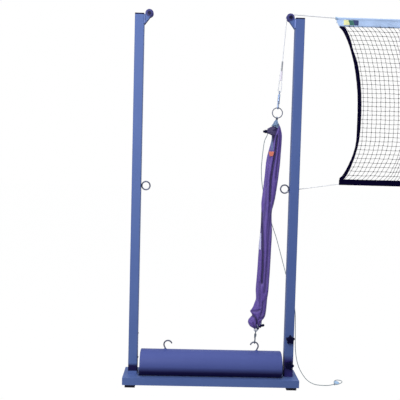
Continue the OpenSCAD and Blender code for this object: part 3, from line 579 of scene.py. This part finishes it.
def make_drawcord(cord_braid, knot_braid, hank_braid):
    route = [(230, 0, 1087), (225, 0, 1090), (218, 0, 1091), (213, 0, 1089), (212, 0, 1084), (212, 0, 1077),
             (212, 0, 1067), (209, 1, 1057), (202, 6, 1040), (198, 12, 1008), (195, 18, 962), (194, 23, 918),
             (199, 28, 860), (212, 29, 800), (230, 28, 742), (247, 25, 684), (266, 22, 631),
             (286, 20.9, 565), (308, 20.9, 490), (330, 20.9, 415), (350, 20.9, 350), (358, 18, 310),
             (360, 14, 262), (361, 11, 210), (362, 9, 165), (366, 8, 127), (374, 7, 90), (390, 6, 54),
             (416, 4, 20), (446, 0, 3.5), (478, -8, 1.6), (508, -7, 1.8), (530.4, -1.3, 3.9), (535, -1, 4.6),
             (539.6, 1, 3.6), (548, 5, 1.8), (566, 18, 1.7), (578, 36, 1.7), (576, 50, 1.7), (562, 56, 1.7),
             (548, 46, 1.7), (541, 28, 1.7), (538, 12, 1.9), (536.3, 3.8, 3.6), (535.4, 0.5, 4.6)]
    path = along_path(route, 3)
    drawcord = piece("drawcord_braid", tube(path, 3), cord_braid, "drawcord_fabric", "drawcord")
    # The knot is a tight overhand one, so its cord crosses itself in three lobes
    twist = []
    for i in range(61):
        a = tau * i / 60
        x, z = round_at(2.3 + cos(3 * a) * 1.1, 2 * a)
        twist.append((535 + 1.2 * sin(3 * a), -1 + x * 1.15, 4.7 + z * 0.9))
    knot = piece("drawcord_overhand_knot", tube(along_path(twist, 0.8, 3), 2.8, 8), knot_braid,
                 "lashing_fabric", "drawcord_knot")
    # The spare end is wound into a small flat hank inside the loop, wider with each turn
    coil = []
    for i in range(100):
        a = i * 0.21
        turns = a / tau
        coil.append((551 + (1.5 + 2.7 * turns) * cos(a), 25 + (3 + 4.2 * turns) * sin(a),
                     1.9 + 0.2 * sin(5 * a)))
    piece("drawcord_end_hank", tube(along_path(coil, 1.2, 2), 3.4, 8, ends=True), hank_braid,
          "lashing_fabric")


def make_head_cord(cord_braid, whipping, splice):
    groove = 14.5
    start, end = pi - TILT, radians(87.26)
    bend = [round_at(groove, start + (end - start) * i / 24) for i in range(25)]
    route = ([on_line(1192)] + [(AXLE_X + x, 0, AXLE_Z + z) for x, z in bend]
             + [(TAPE_START, 0, HEAD_CORD_Z), (960, 0, HEAD_CORD_Z)])
    piece("head_cord_braid", tube(stepped(route, 2.5), 4), cord_braid, "cord_fabric", "head_cord")
    strands = [on_line(1157.7 - run, out) for run, out in loop_round(83.2, 6, 4)]
    piece("near_loop_braid", tube(stepped(strands, 2), 4), cord_braid, "cord_fabric", "near_loop")
    far = [tube(stepped([(x + run, 0, z + out) for run, out in loop_round(26, 10, 2.3)], 2), thick)
           for x, z, thick in FAR_LOOPS]
    piece("far_loop_braid", together(far), cord_braid, "cord_fabric", "far_loops")
    covered = [(on_line(1153), on_line(1196.7))] + [((x - 22, 0, z), (x, 0, z)) for x, z, _ in FAR_LOOPS]
    sleeves = [tube(stepped(line, 1.2), 7, 16, ends=True) for line in covered]
    piece("whipped_sleeves", together(sleeves), whipping, "whipping_fabric", "cord_sleeves")
    taper = stepped([on_line(1116), on_line(1156)], 1.5)
    sides = 14

    def shape(i, j):
        share = i / len(taper)
        x, y = round_at(3.2 + share, tau * j / sides)
        return x * (1 + 0.45 * sin(pi * (1 - share) / 2)), y * 0.72, 0
    piece("splice_under_sleeve", sweep(taper, shape, sides, ALONG_NET), splice, "cord_fabric")


def make_foot_cord(cord_braid):
    tie_x, tie_z, tie_lean = 305.5, 828.2, radians(-35)
    route = [(tie_x, 4.8, tie_z), (304.5, 9.8, 828.7), (305, 12.8, 830.2), (309, 18.3, 830.7),
             (313, 20.8, 831.2), (349, 20.8, 837.2), (355, 19.8, 838.2), (512, 0.2, 863.7),
             (518, 0, FOOT_CORD_Z), (920, 0, FOOT_CORD_Z)]
    # The hitch turns a little more than once round the eye's wire
    hitch = []
    for i in range(49):
        out, y = round_at(4.8, tau * i / 40)
        shift = (i - 24) * 0.06
        hitch.append((tie_x + out * cos(tie_lean) - shift, y, tie_z + out * sin(tie_lean) - shift))
    cords = [tube(stepped(route, 2.5), 3), tube(along_path(hitch, 1, 2), 3, ends=True)]
    piece("foot_cord_braid", together(cords), cord_braid, "cord_fabric", "foot_cord")


# ---- the net ----

def side_shift(u, draw):
    """How far the net's side stands in at a share of its depth; draw is how much the cords' pull bends it."""
    return 24 * u + draw * max(4 * u * (1 - u), 0) ** 0.7


def net_x(t, u):
    """The place along the net of a share t of its length and u of its depth."""
    bent_share = 0.45
    near = 1 if t <= bent_share else (1 - t) / (1 - bent_share)
    near_shift = side_shift(u, 80) + 9 * hump(u, 0.79, 0.13)
    return NET_START + NET_LENGTH * t + near * near_shift - (1 - near) * side_shift(u, 12)


def net_z(u):
    return NET_TOP + (NET_FOOT - NET_TOP) * u


def make_net(twine):
    columns, rows, into_band = 22, 35, 7
    knots = {}
    for i in range(columns + 1):
        for k in range(-1, rows + 2):
            u = k / rows
            x = net_x(i / columns, held(u))
            loose = 0 if k < 1 or k > rows - 1 else 1
            knots[i, k] = Vector((x + loose * random.uniform(-1.1, 1.1), random.uniform(-0.5, 0.5),
                                  net_z(u) + loose * random.uniform(-1.0, 1.0)))
        knots[i, -1].z, knots[i, rows + 1].z = NET_TOP + into_band, NET_FOOT - into_band
    strands = []
    for i in range(columns + 1):
        line = []
        for k in range(-1, rows + 1):
            a, b = knots[i, k], knots[i, k + 1]
            line += [a, (a + b) / 2 + Vector((random.uniform(-0.5, 0.5), 0, 0))]
        strands.append(line + [knots[i, rows + 1]])
    sag = 0.9
    for k in range(rows + 1):
        line = []
        for i in range(columns):
            a, b = knots[i, k], knots[i + 1, k]
            line += [a, (a + b) / 2 - Vector((0, 0, sag if 0 < k < rows else 0))]
        strands.append(line + [knots[columns, k]])
    parts = [tube([p * MM for p in line], 1.62, 5) for line in strands]
    for i in range(columns + 1):
        for k in range(rows + 1):
            bm = bmesh.new()
            size = Vector((random.uniform(2.1, 2.7), 1.6, random.uniform(2.1, 2.7))) * MM
            place = Matrix.Translation(knots[i, k] * MM) @ Matrix.Diagonal((*size, 1))
            bmesh.ops.create_icosphere(bm, subdivisions=1, radius=1, matrix=place, calc_uvs=False)
            parts.append(bm)
    piece("knotted_net", together(parts), twine, "net_twine", "net_mesh")


TAPE_HANG = 33


def tape_wave(x, z):
    """How far the hanging cloth stands forward or back of the net's plane."""
    hang = held((HEAD_CORD_Z - z) / TAPE_HANG)
    return hang * (1.3 * sin(x / 21) + sin(x / 9.5 + 1) + 0.8 * ripple(x / 14, 0, z / 20))


def make_head_tape(cloth, label, cord_braid):
    front = [(-1.1, -33.4), (-1.6, -28), (-1.5, -20), (-1.5, -12), (-1.7, -7), (-2.3, -4.4), (-3, -1.8),
             (-3.1, 0.6), (-2.3, 2.4), (-0.8, 3.2)]
    wrap = front + [(-y, z) for y, z in reversed(front)]
    path = stepped([(TAPE_START, 0, HEAD_CORD_Z), (TAPE_END, 0, HEAD_CORD_Z)], 3)
    mesh_width = 18.6

    def shape(i, j):
        y, z = wrap[j]
        x = path[i].x * 1000
        hang = held(-z / TAPE_HANG)
        scallop = abs(sin(pi * (x - NET_START) / mesh_width))
        z -= hang * (0.9 * scallop + 0.8 * ripple(x / 25, 3, 0))
        slant = hang * 15 * max(0, 1 - i / 12)
        edge = 0.6 if i in (0, len(path) - 1) else 1
        return y * edge + tape_wave(x, HEAD_CORD_Z + z), z, slant
    tape = sweep(path, shape, len(wrap), ACROSS_NET)
    piece("folded_head_tape", tape, cloth, "tape_fabric", "head_tape")

    def on_tape(across, up):
        x, z = 545 + across * 31, 1536.5 + up * 11
        return x, -1.75 + tape_wave(x, z), z
    piece("plain_woven_label", patch(24, 10, -0.5, on_tape), label, "tape_fabric")
    turns = []
    for i in range(73):
        a = tau * i / 24
        y, z = round_at(4.6, a)
        turns.append((TAPE_START + 6.6 * i / 72 + 1.2 * sin(2 * a), y, 1553.3 + z + 0.6 * cos(2 * a)))
    turns += [(487.5, 3.5, 1548.5), (488, 4.2, 1541), (486.5, 4.8, 1534)]
    piece("head_cord_stopper_knot", tube(along_path(turns, 1.2, 2), 3.4, 8, ends=True), cord_braid,
          "tape_fabric")


def make_band(name, line, lower, upper, cloth, node, cord=0.0, turned_away=0.0):
    """A folded band sewn over the net's edge: lower and upper are its edges' offsets across the line, and
    cord the radius of the bulge round a cord in its lower edge."""
    sides, thick = 18, 1.5

    def shape(i, j):
        c, s = round_at(1, tau * j / sides)
        wide = (lower + upper) / 2 + (upper - lower) / 2 * fuller(c, 0.5)
        y = thick * fuller(s, 0.35)
        if cord and wide < lower + 2 * cord:
            y = copysign(sqrt(max(cord ** 2 - (wide - lower - cord) ** 2, 0.04)), s or 1)
        p = line[i] * 1000
        wave = 0.9 * ripple(p.x / 30, 5, p.z / 30) + 0.35 * sin((p.x + p.z) / 6)
        rough = 0.5 * ripple(p.x / 9, wide, p.z / 9)
        # Where the pull bends the hem it turns its edge to the front, above and below the middle
        u = i / (len(line) - 1)
        away = turned_away * (hump(u, 0.16, 0.06) + hump(u, 0.8, 0.12))
        wide = lower + (wide - lower) * (1 - away)
        return y + wave, wide + rough, 0
    piece(name, sweep(line, shape, sides, ACROSS_NET), cloth, "band_fabric", node)


def make_net_edges(cloth):
    for t, name, node, lower, upper, away in ((0, "near_side_hem", "near_side_band", -6, 10.5, 0.34),
                                              (1, "far_side_hem", "far_side_band", -10.5, 6, 0.0)):
        line = stepped([(net_x(t, i / 60), 0, net_z(i / 60)) for i in range(61)], 4)
        make_band(name, line, lower, upper, cloth, node, turned_away=away)
    line = stepped([(520.5, 0, FOOT_CORD_Z), (892, 0, FOOT_CORD_Z)], 4)
    make_band("foot_hem", line, -3.2, 20.8, cloth, "foot_band", cord=3.2)


# ---- the bagged strainer ----

# Height, then the left and the right edge along the net
BAG_OUTLINE = [
    (1110, 238.5, 258), (1104, 238, 261.5), (1092, 236, 267), (1068, 230, 272.5), (1041, 229, 273),
    (992, 218, 271), (950, 210, 269), (917, 207, 266), (861, 203, 261), (811, 198, 254), (777, 195, 248),
    (742, 196, 241), (689, 196, 242), (660, 195, 244), (593, 191, 243), (493, 187, 241), (407, 183, 237),
    (369, 185, 233), (347, 179, 232), (330, 172, 231), (320, 166, 230), (312, 162, 229), (304, 167, 228),
    (297, 171, 226), (289, 166, 223), (278, 157, 214), (268, 154, 213), (259, 156, 211), (251, 161, 207),
    (245, 167, 203), (239, 175, 196)]

# Folds of the front (1) and the back (-1): points (along the net, height), width and depth
BAG_FOLDS = {1: [
    ([(251, 1106), (243, 1080), (236, 1056), (231, 1034)], 5.5, 9),
    ([(252, 1060), (250, 1042), (247, 1010), (243, 979), (236, 925), (230, 875), (229, 830), (229.5, 785)],
     5, 9),
    ([(229.5, 800), (229, 760), (228, 735)], 5, 5.5),
    ([(228, 750), (226, 700), (222, 655), (224, 610)], 5, 4),
    ([(262, 1090), (264, 1040), (262, 1000), (256, 940), (251, 880)], 5, 4.5),
    ([(236, 1040), (229, 1000), (221, 960), (214, 900), (210, 850)], 4, 3.5),
    ([(197, 735), (199, 700), (203, 640), (207, 560), (208, 500), (206, 440)], 5.5, 8.5),
    ([(236, 740), (232, 690), (229, 640), (227, 560), (224, 480), (219, 400)], 6, 5),
    ([(212, 860), (213, 800), (210, 740), (206, 700)], 5, 4),
    ([(196, 440), (198, 400), (200, 365), (204, 340)], 5, 4),
    ([(158, 319), (172, 318), (188, 320), (204, 327)], 3.2, 6),
    ([(166, 300), (176, 297), (184, 291), (190, 276), (191, 260)], 4, 9),
    ([(214, 360), (212, 325), (207, 300), (200, 285)], 5, 5),
    ([(226, 300), (212, 292), (200, 290)], 4, 5),
    ([(172, 268), (178, 258), (184, 246)], 3.5, 5),
    ([(204, 272), (198, 258), (190, 244)], 3.5, 5)], -1: [
    ([(247, 1095), (244, 1040), (240, 960), (232, 880), (226, 800)], 6, 6),
    ([(258, 1070), (260, 1000), (254, 900), (246, 820)], 5, 4),
    ([(218, 790), (222, 700), (226, 600), (222, 500), (214, 420)], 6, 6),
    ([(204, 700), (206, 600), (201, 500), (198, 400)], 5, 4),
    ([(165, 325), (185, 318), (205, 322)], 4, 6),
    ([(215, 340), (205, 310), (190, 285), (186, 262)], 5, 7)]}


def off_line(x, z, points):
    """The distance from a point to a line of straight runs."""
    best = inf
    for (ax, az), (bx, bz) in zip(points, points[1:]):
        dx, dz = bx - ax, bz - az
        t = held(((x - ax) * dx + (z - az) * dz) / (dx * dx + dz * dz))
        best = min(best, hypot(x - ax - t * dx, z - az - t * dz))
    return best


def fold_depth(x, z, face):
    total, reach = 0.0, 15
    for points, width, depth in BAG_FOLDS[face]:
        top, foot = points[0][1], points[-1][1]
        if foot - reach < z < top + reach or abs(top - foot) < reach:
            gap = off_line(x, z, points) / width
            if gap < 3:
                total = max(total, depth * exp(-gap * gap))
    return total


def bag_width(z):
    """The bag's middle and half its width at a height."""
    left, right = value_at(BAG_OUTLINE, z, 1), value_at(BAG_OUTLINE, z, 2)
    return (left + right) / 2, (right - left) / 2


def bag_point(z, angle):
    """A point of the bag's skin at a height and turn: offsets along the net and to the front."""
    middle, half = bag_width(z)
    deep = held(half * 0.84, 7, 22.5)
    ca, sa = round_at(1, angle)
    x, y = middle + half * ca, deep * fuller(sa, 0.9)
    face = 1 if sa > 0 else -1
    rim = min(1.0, abs(sa) * 2.2)
    inward = fold_depth(x, z, face) * rim
    neck = 1 if z < 1085 else max(0.25, (1110 - z) / 25)
    long_fold = 2.0 * ripple(x / 11, face * 3.1, z / 120) + ripple(x / 5, face, z / 55)
    crush = held((350 - z) / 40) * 2.2 * ripple(x / 13, y / 13, z / 8)
    gather = max(0.0, (z - 1050) / 60) * 1.3 * cos(13 * angle + 1.5 * sin(3 * angle))
    swell = (long_fold + crush) * neck + gather
    grow = swell / max(half, 8) * (0.35 + 0.65 * rim)
    front = y * (1 + grow) - copysign(min(inward, abs(y) * 0.75), sa)
    return middle + half * ca * (1 + grow * 0.6), front


def make_bag(nylon):
    mouth, foot, step, sides = 1109.0, 238, 4.0, 104
    heights = [mouth - step * i for i in range(int((mouth - foot) / step) + 1)]
    path = [Vector((line_x(z), 0, z)) * MM for z in heights]

    def shape(i, j):
        z = heights[i]
        x, front = bag_point(z, tau * j / sides)
        close = {1: 0.55, 2: 0.85}.get(len(path) - i, 1)
        middle = bag_width(z)[0]
        return middle + (x - middle) * close - line_x(z), front * close, 0
    bm = sweep(path, shape, sides, ALONG_NET)
    painted_fold_shade = bm.verts.layers.float.new("painted_fold_shade")
    lining = bm.verts.layers.float.new("lining")
    # Painted shade: each point's fold depth, and the line of the first front fold, set how far it takes the
    # ink-dark tint
    for vert in bm.verts:
        x, y, z = (c * 1000 for c in vert.co)
        vert[painted_fold_shade] = min(1.0, (fold_depth(x, z, 1 if y < 0 else -1) / 8) ** 1.3)
        if y < 0:
            vert[painted_fold_shade] = max(vert[painted_fold_shade], exp(-(off_line(x, z, BAG_FOLDS[1][0][0]) / 7) ** 4))
            vert[lining] = exp(-(off_line(x, z, [(226, 1062), (229, 1036), (231, 1002)]) / 5) ** 4)
    piece("nylon_bag", bm, nylon, "bag_fabric", "bag")

    # The bag's collar, pulled out to the cord lock by the drawcord, and the gusset above it
    collar = along_path([(242, -3, 1069), (233, -5, 1073), (223, -4, 1075.5), (212, -1, 1077)], 1.2)
    gusset = along_path(
        [(247, -3, 1094), (238, -5, 1090), (229, -5, 1085), (220, -3, 1081), (213, -1, 1079)], 1.2)

    def collar_radius(i, a):
        out = i / len(collar)
        return (13.5 - 6.2 * out + 9 * max(0, out - 0.8)) * (1 + 0.13 * cos(7 * a + i * 0.2))

    def gusset_radius(i, a):
        full = sin(pi * (0.12 + 0.74 * i / len(gusset)))
        return (7 + 4.5 * full) * (1 + 0.1 * cos(6 * a + i * 0.15))
    bm = together([round_sweep(collar, collar_radius, 32, ACROSS_NET, wide=0.72),
                   round_sweep(gusset, gusset_radius, 32, ACROSS_NET, wide=0.6)])
    # Painted shade: the collar and gusset take nearly all of the folds' ink-dark tint
    painted_fold_shade = bm.verts.layers.float.new("painted_fold_shade")
    for vert in bm.verts:
        vert[painted_fold_shade] = 0.93
    piece("bag_collar", bm, nylon, "bag_fabric")


def make_bag_trim(tab_cloth, binding, plastic, cord_braid, pale_braid):
    def on_front(across, up):
        x, z = 228 + across * (8.6 + 2.2 * up), 984 + up * 9.5
        middle, half = bag_width(z)
        turn = acos(held((x - middle) / half, -0.999, 0.999))
        front = bag_point(z, turn)[1] + fold_depth(x, z, 1) * 0.6
        lift = 1.4 + 1.2 * (0.5 - up / 2) * (0.6 + 0.4 * sin(3 * across))
        return x, -front - lift, z
    piece("woven_tab", patch(10, 8, 1.2, on_front), tab_cloth, "lashing_fabric")

    # The binding shows where the bag's side seam turns out
    def on_seam(across, up):
        z = 616 + up * 34
        turn = radians(158 - 26 * across * (0.7 - 0.3 * up))
        x, front = bag_point(z, turn)
        proud_x, proud_y = round_at(1.2, turn)
        return x + proud_x, -front - proud_y, z
    piece("side_seam_binding", patch(8, 24, 0.8, on_seam), binding, "lashing_fabric")

    # Three toggles at the bag's lower end, two of them on short loops
    barrel = [(0, -8), (3.2, -8), (4.8, -6.6), (5.4, -3), (5.4, 3), (4.8, 6.6), (3.2, 8), (0, 8)]
    toggles = [turned([(r * thick, h * long) for r, h in barrel], place, axis, 20)
               for thick, long, place, axis in ((1, 1, (214.5, -15, 258.5), (0.9, -0.2, 0.25)),
                                                (0.75, 0.6, (203.5, -20, 254), (0.7, -0.1, -0.7)),
                                                (0.7, 0.5, (196, -20, 246), (0.2, -0.2, 1)))]
    piece("end_toggles", together(toggles), plastic, "black_plastic", sharp=50)
    loops = [tube(along_path(line, 1), 2.4, 8, ends=True) for line in (
        [(200, -8, 266), (206, -16, 267), (211, -18, 263), (215, -15, 259)],
        [(190, -8, 262), (192, -18, 259), (195, -21, 253), (196, -20, 247)])]
    piece("toggle_loops", together(loops), cord_braid, "drawcord_fabric")
    bound = []
    for i in range(81):
        x, y = round_at(1, radians(18 * i))
        bound.append(on_line(57 + 12 * i / 80, 5.4 * x, 5 * y))
    piece("bound_strainer_end", tube(along_path(bound, 1, 2), 3, 8, ends=True), pale_braid, "drawcord_fabric")


def make_strainer(elastic):
    line = stepped([on_line(70), on_line(934)], 6)
    piece("strainer_braid", tube(line, 8, 12), elastic, "strainer_rubber", "strainer")


def make_lashing(cord_braid, whipping):
    def at(x, y, s):
        return on_line(s, x, y)
    wrap = [at(*round_at(11.8, radians(18 * i - 90)), 920.4 + 4.6 * i / 20) for i in range(51)]
    up = [at(-4, 11.3, 935.4), at(-3, 9, 942), at(-0.8, 5.5, 949)]
    over = [at(0, y, 960.9 + rise) for y, rise in (round_at(4.3, pi * i / 8) for i in range(9))]
    down = [at(0.8, -5.5, 949), at(3, -9, 942), at(4, -11.8, 935.1)]
    inner = tube(along_path(wrap + up + over + down, 1.6, 3), 4, 8)
    # The outer turns lie one over the other like a cone, lower on the side of the cord lock
    cone = []
    for i in range(121):
        a, share = radians(18 * i), i / 120
        x, y = round_at(14 - 10.5 * share ** 0.85 + 0.5 * sin(2.3 * a), a)
        cone.append(at(x - 5 + 3.3 * share, -y, 930 + 21.7 * share + (0.42 - 0.3 * share) * x))
    outer = tube(along_path(cone, 1.6, 3), 4.2, 8, ends=True)
    piece("neck_lashing_cord", together([inner, outer]), cord_braid, "lashing_fabric", "neck_lashing")
    short = stepped([at(0, 0, 951), at(0, 0, 963)], 1)

    def fullness(i, a):
        return 0.6 + 0.4 * sin(pi * (i + 0.5) / len(short))
    knob = round_sweep(short, fullness, 16, ALONG_NET, wide=4.8, deep=7.2)
    piece("lashing_whipping", knob, whipping, "whipping_fabric")


# ---- knobs, pulleys, hooks and the drum ----

def make_knob(name, side, z, turn, body, node, plastic):
    face = -side
    # Each row: distance off the upright, size, how strongly the five lobes show
    rows = [(-2.2, 4.0, 0), (10.4, 4.0, 0), (10.4, 7.2, 0), (11.2, 8.0, 0), (11.6, 12.5, 0.6),
            (12.3, 15.2, 0.9), (13.6, 16.2, 1), (20.6, 16.2, 1), (22.6, 15.6, 1), (23.8, 14.2, 0.9),
            (24.5, 12.0, 0.7), (24.5, 8.2, 0), (23.4, 7.4, 0), (23.2, 4.0, 0), (24.6, 3.2, 0), (25.0, 1.6, 0)]

    def radius(i, a):
        return rows[i][1] + 3.3 * rows[i][2] * cos(5 * (a - turn))
    # Two rows may lie at one distance, so the rings are swept a step apart and then moved to their rows
    apart = [Vector((0, face * i, 0)) for i in range(len(rows))]
    bm = round_sweep(apart, radius, 80, ALONG_NET)
    station = bm.verts.layers.int["station"]
    for vert in bm.verts:
        out = face * (POST_HALF + rows[vert[station]][0])
        vert.co = Vector((vert.co.x, 0, vert.co.z)) + Vector((side * POST_X, out, z)) * MM
    piece(name, bm, plastic, "black_plastic", node, body=body, sharp=48)


def make_pulley_covers(name, side, body, plastic):
    """Thin round covers on both cheeks, under the axle bolt's head and nut."""
    rim = [(4.1, 0), (13.2, 0), (13.8, 0.4), (13.8, 0.9), (13.2, 1.3), (8.6, 1.6), (4.1, 1.6), (4.1, 0)]
    covers = [turned(rim, (side * AXLE_X, face * 9.5, AXLE_Z), (0, face, 0), 48) for face in (-1, 1)]
    piece(name, together(covers), plastic, "black_plastic", body=body, sharp=40)


def make_cheek_welds(name, side, body, blue):
    """Rippled weld beads where the cheek plates meet the upright."""
    def radius(i, a):
        return 2.5 + 0.3 * sin(1.4 * i)
    beads = []
    for face in (-1, 1):
        line = stepped([(side * 310.8, face * 11.6, z) for z in (1505, 1538.5)], 0.6)
        beads.append(round_sweep(line, radius, 10, ACROSS_NET))
    piece(name, together(beads), blue, "blue_paint", body=body)


def make_drum_parts(blue, wire):
    rim = [(0, 4), (50, 4), (53.5, 3.6), (55.8, 2.4), (57, 0.1), (57, 0), (53, 0), (0, 0)]
    ends = [turned(rim, (side * 296, 0, 85.37), (side, 0, 0), 96) for side in (-1, 1)]
    piece("rounded_drum_ends", together(ends), blue, "blue_paint", "drum_end_plates", sharp=40)
    lump = [(0, -4), (9.4, -4), (9.2, -0.4), (8.2, 0.8), (7.4, 2.2), (6.2, 3.3), (4.4, 4), (3.1, 4.3),
            (0, 4.3)]
    bosses = []
    for side in (-1, 1):
        bm = turned(lump, (side * BOSS_X, 0, 142.37), (0, 0, 1), 40)
        for vert in bm.verts:
            off = Vector((vert.co.x * 1000 - side * BOSS_X, vert.co.y * 1000))
            if off.length > 5:
                vert.co.z += 0.3 * MM * sin(9 * atan2(off.y, off.x))
        bosses.append(bm)
    piece("weld_bosses", together(bosses), blue, "blue_paint", "hook_bosses")
    arc = [round_at(17, radians(a)) for a in range(-34, 167, 4)]
    route = [(BOSS_X, 143), (BOSS_X, 147), (195.6, 150)] + [(184 + x, 164.17 + z) for x, z in arc]
    for side, hand in ((-1, "left"), (1, "right")):
        line = along_path([(side * x, 0, z) for x, z in route], 1.2, 3)
        piece(hand + "_bent_hook", tube(line, 6, 16, ends=True), wire, "zinc_steel",
              hand + "_ballast_hook")


place_camera()
# Braids: two tones, pitch in millimetres and strands
cord_braid = braid("braided_polyester_cord", "#c3c8d2", "#f5f6fa", 2.6, 4)
lash_braid = braid("braided_pale_blue_cord", "#3b567c", "#91acd0", 3.0, 4)
sky_braid = braid("braided_sky_cord", "#86add6", "#bcd8f3", 3.0, 4)
thin_braid = braid("braided_grey_green_cord", "#56696f", "#8d9faa", 2.4, 3)
elastic = braid("covered_elastic", "#1b2036", "#343c5c", 3.5, 6)
whipping = wound_thread("grey_whipping_thread", "#7f838d", "#b6b9c1", 0.9)
splice = wound_thread("lilac_splice_thread", "#dad1e7", "#f2edf8", 1.4)
make_drawcord(thin_braid, lash_braid, sky_braid)
make_head_cord(cord_braid, whipping, splice)
make_foot_cord(cord_braid)
make_lashing(lash_braid, wound_thread("dark_binding_thread", "#20242f", "#3c4252", 0.9))

light_studio()
lay_floor()

# A painted shade band is its foot, its top, how far it fades out above that, and its colour
blue = powder_coat("powder_coated_steel", "#4d629a", "#596ea5")
left_blue = powder_coat("powder_coated_left_upright", "#4d629a", "#596ea5", (55, 76, 12, "#15103f"), 1539.5)
# The right upright's coat is a darker copy of the blue, as painted shade, and its painted shade band reaches
# 108 mm
right_blue_painted_shade = powder_coat("powder_coated_right_upright_painted_shade", "#485c94", "#54689f", (0, 108, 26, "#2b2663"), 1539.5)
# The weld beads' coat is much paler than the blue: painted highlight
weld_blue_painted_highlight = powder_coat("powder_coated_weld_painted_highlight", "#8294d2", "#93a5de")
# The drum's coat is a darker, more violet copy of the blue, as painted shade, with a painted shade band
# darkening it almost to black up to 62 mm
drum_blue_painted_shade = powder_coat("powder_coated_drum_painted_shade", "#434e8b", "#4d5996", (0, 62, 24, "#15103f"))
zinc = zinc_plate("zinc_plated_steel", "#5b6b89", "#8798b6")
# The lower snap takes a darker copy of the zinc: painted shade
zinc_painted_shade = zinc_plate("zinc_plated_steel_painted_shade", "#414b5a", "#6d7887")
wire, bolts, rubber, concrete = dark_wire(), black_oxide(), foot_rubber(), cast_concrete()
plastic = moulded_nylon("moulded_black_nylon", "#020221", "#08082e", 0.05)
navy_plastic = moulded_nylon("moulded_navy_nylon", "#33336a", "#43437a")
tape_cloth = woven_band("pale_blue_woven_tape", "#a9c4ee", "#c6daf8", seams=(1548.5, 1524.5))
navy_cloth = woven_band("navy_woven_band", "#05021c", "#0b0730", sheen=0.0, gloss=0.02)
pale_binding = woven_band("pale_lilac_binding", "#b3b3dd", "#d0d0ee")
orange_cloth = woven_band("orange_woven_tab", "#b8604e", "#cf7e6a")

make_net(knotted_twine())
make_head_tape(tape_cloth, label_weave(), sky_braid)
make_net_edges(navy_cloth)
make_bag(bag_nylon())
make_bag_trim(orange_cloth, pale_binding, plastic, thin_braid, cord_braid)
make_strainer(elastic)
make_drum_parts(drum_blue_painted_shade, wire)
for side, hand, body in ((-1, "left", "left_post"), (1, "right", "base")):
    for level, z, turn in (("upper", 205, 0.35), ("lower", 95, 0.0)):
        knob = f"{hand}_{level}"
        make_knob(knob + "_star_knob", side, z, turn, knob + "_clamp", knob + "_knob", plastic)
    make_pulley_covers(hand + "_pulley_covers", side, body, navy_plastic)
    make_cheek_welds(hand + "_cheek_welds", side, body, weld_blue_painted_highlight)

# A node takes the last coat here with a word that its name holds
COATS = [
    (blue, ("cross_foot", "rail", "foot_end_plates", "spigot", "saddles", "cheeks")),
    (left_blue, ("left_upright",)),
    (right_blue_painted_shade, ("right_upright",)),
    (drum_blue_painted_shade, ("drum_shell",)),
    (rubber, ("rubber_feet",)),
    (concrete, ("ballast",)),
    (bolts, ("pulley_bolt", "clamp_nuts")),
    (plastic, ("top_cap", "cord_lock", "lock_button")),
    (navy_plastic, ("pulley_wheel",)),
    (wire, ("left_eye", "right_eye", "line_ring")),
    (zinc, ("lower_ring", "snap_eye", "snap_hook", "snap_gate")),
    (zinc_painted_shade, ("lower_snap",))]
for name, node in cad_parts.items():
    for coat, words in COATS:
        if any(word in name for word in words) and not name.endswith("ballast_hook"):
            node.data.materials.clear()
            node.data.materials.append(coat)

bpy.context.scene.view_settings.view_transform = "Standard"
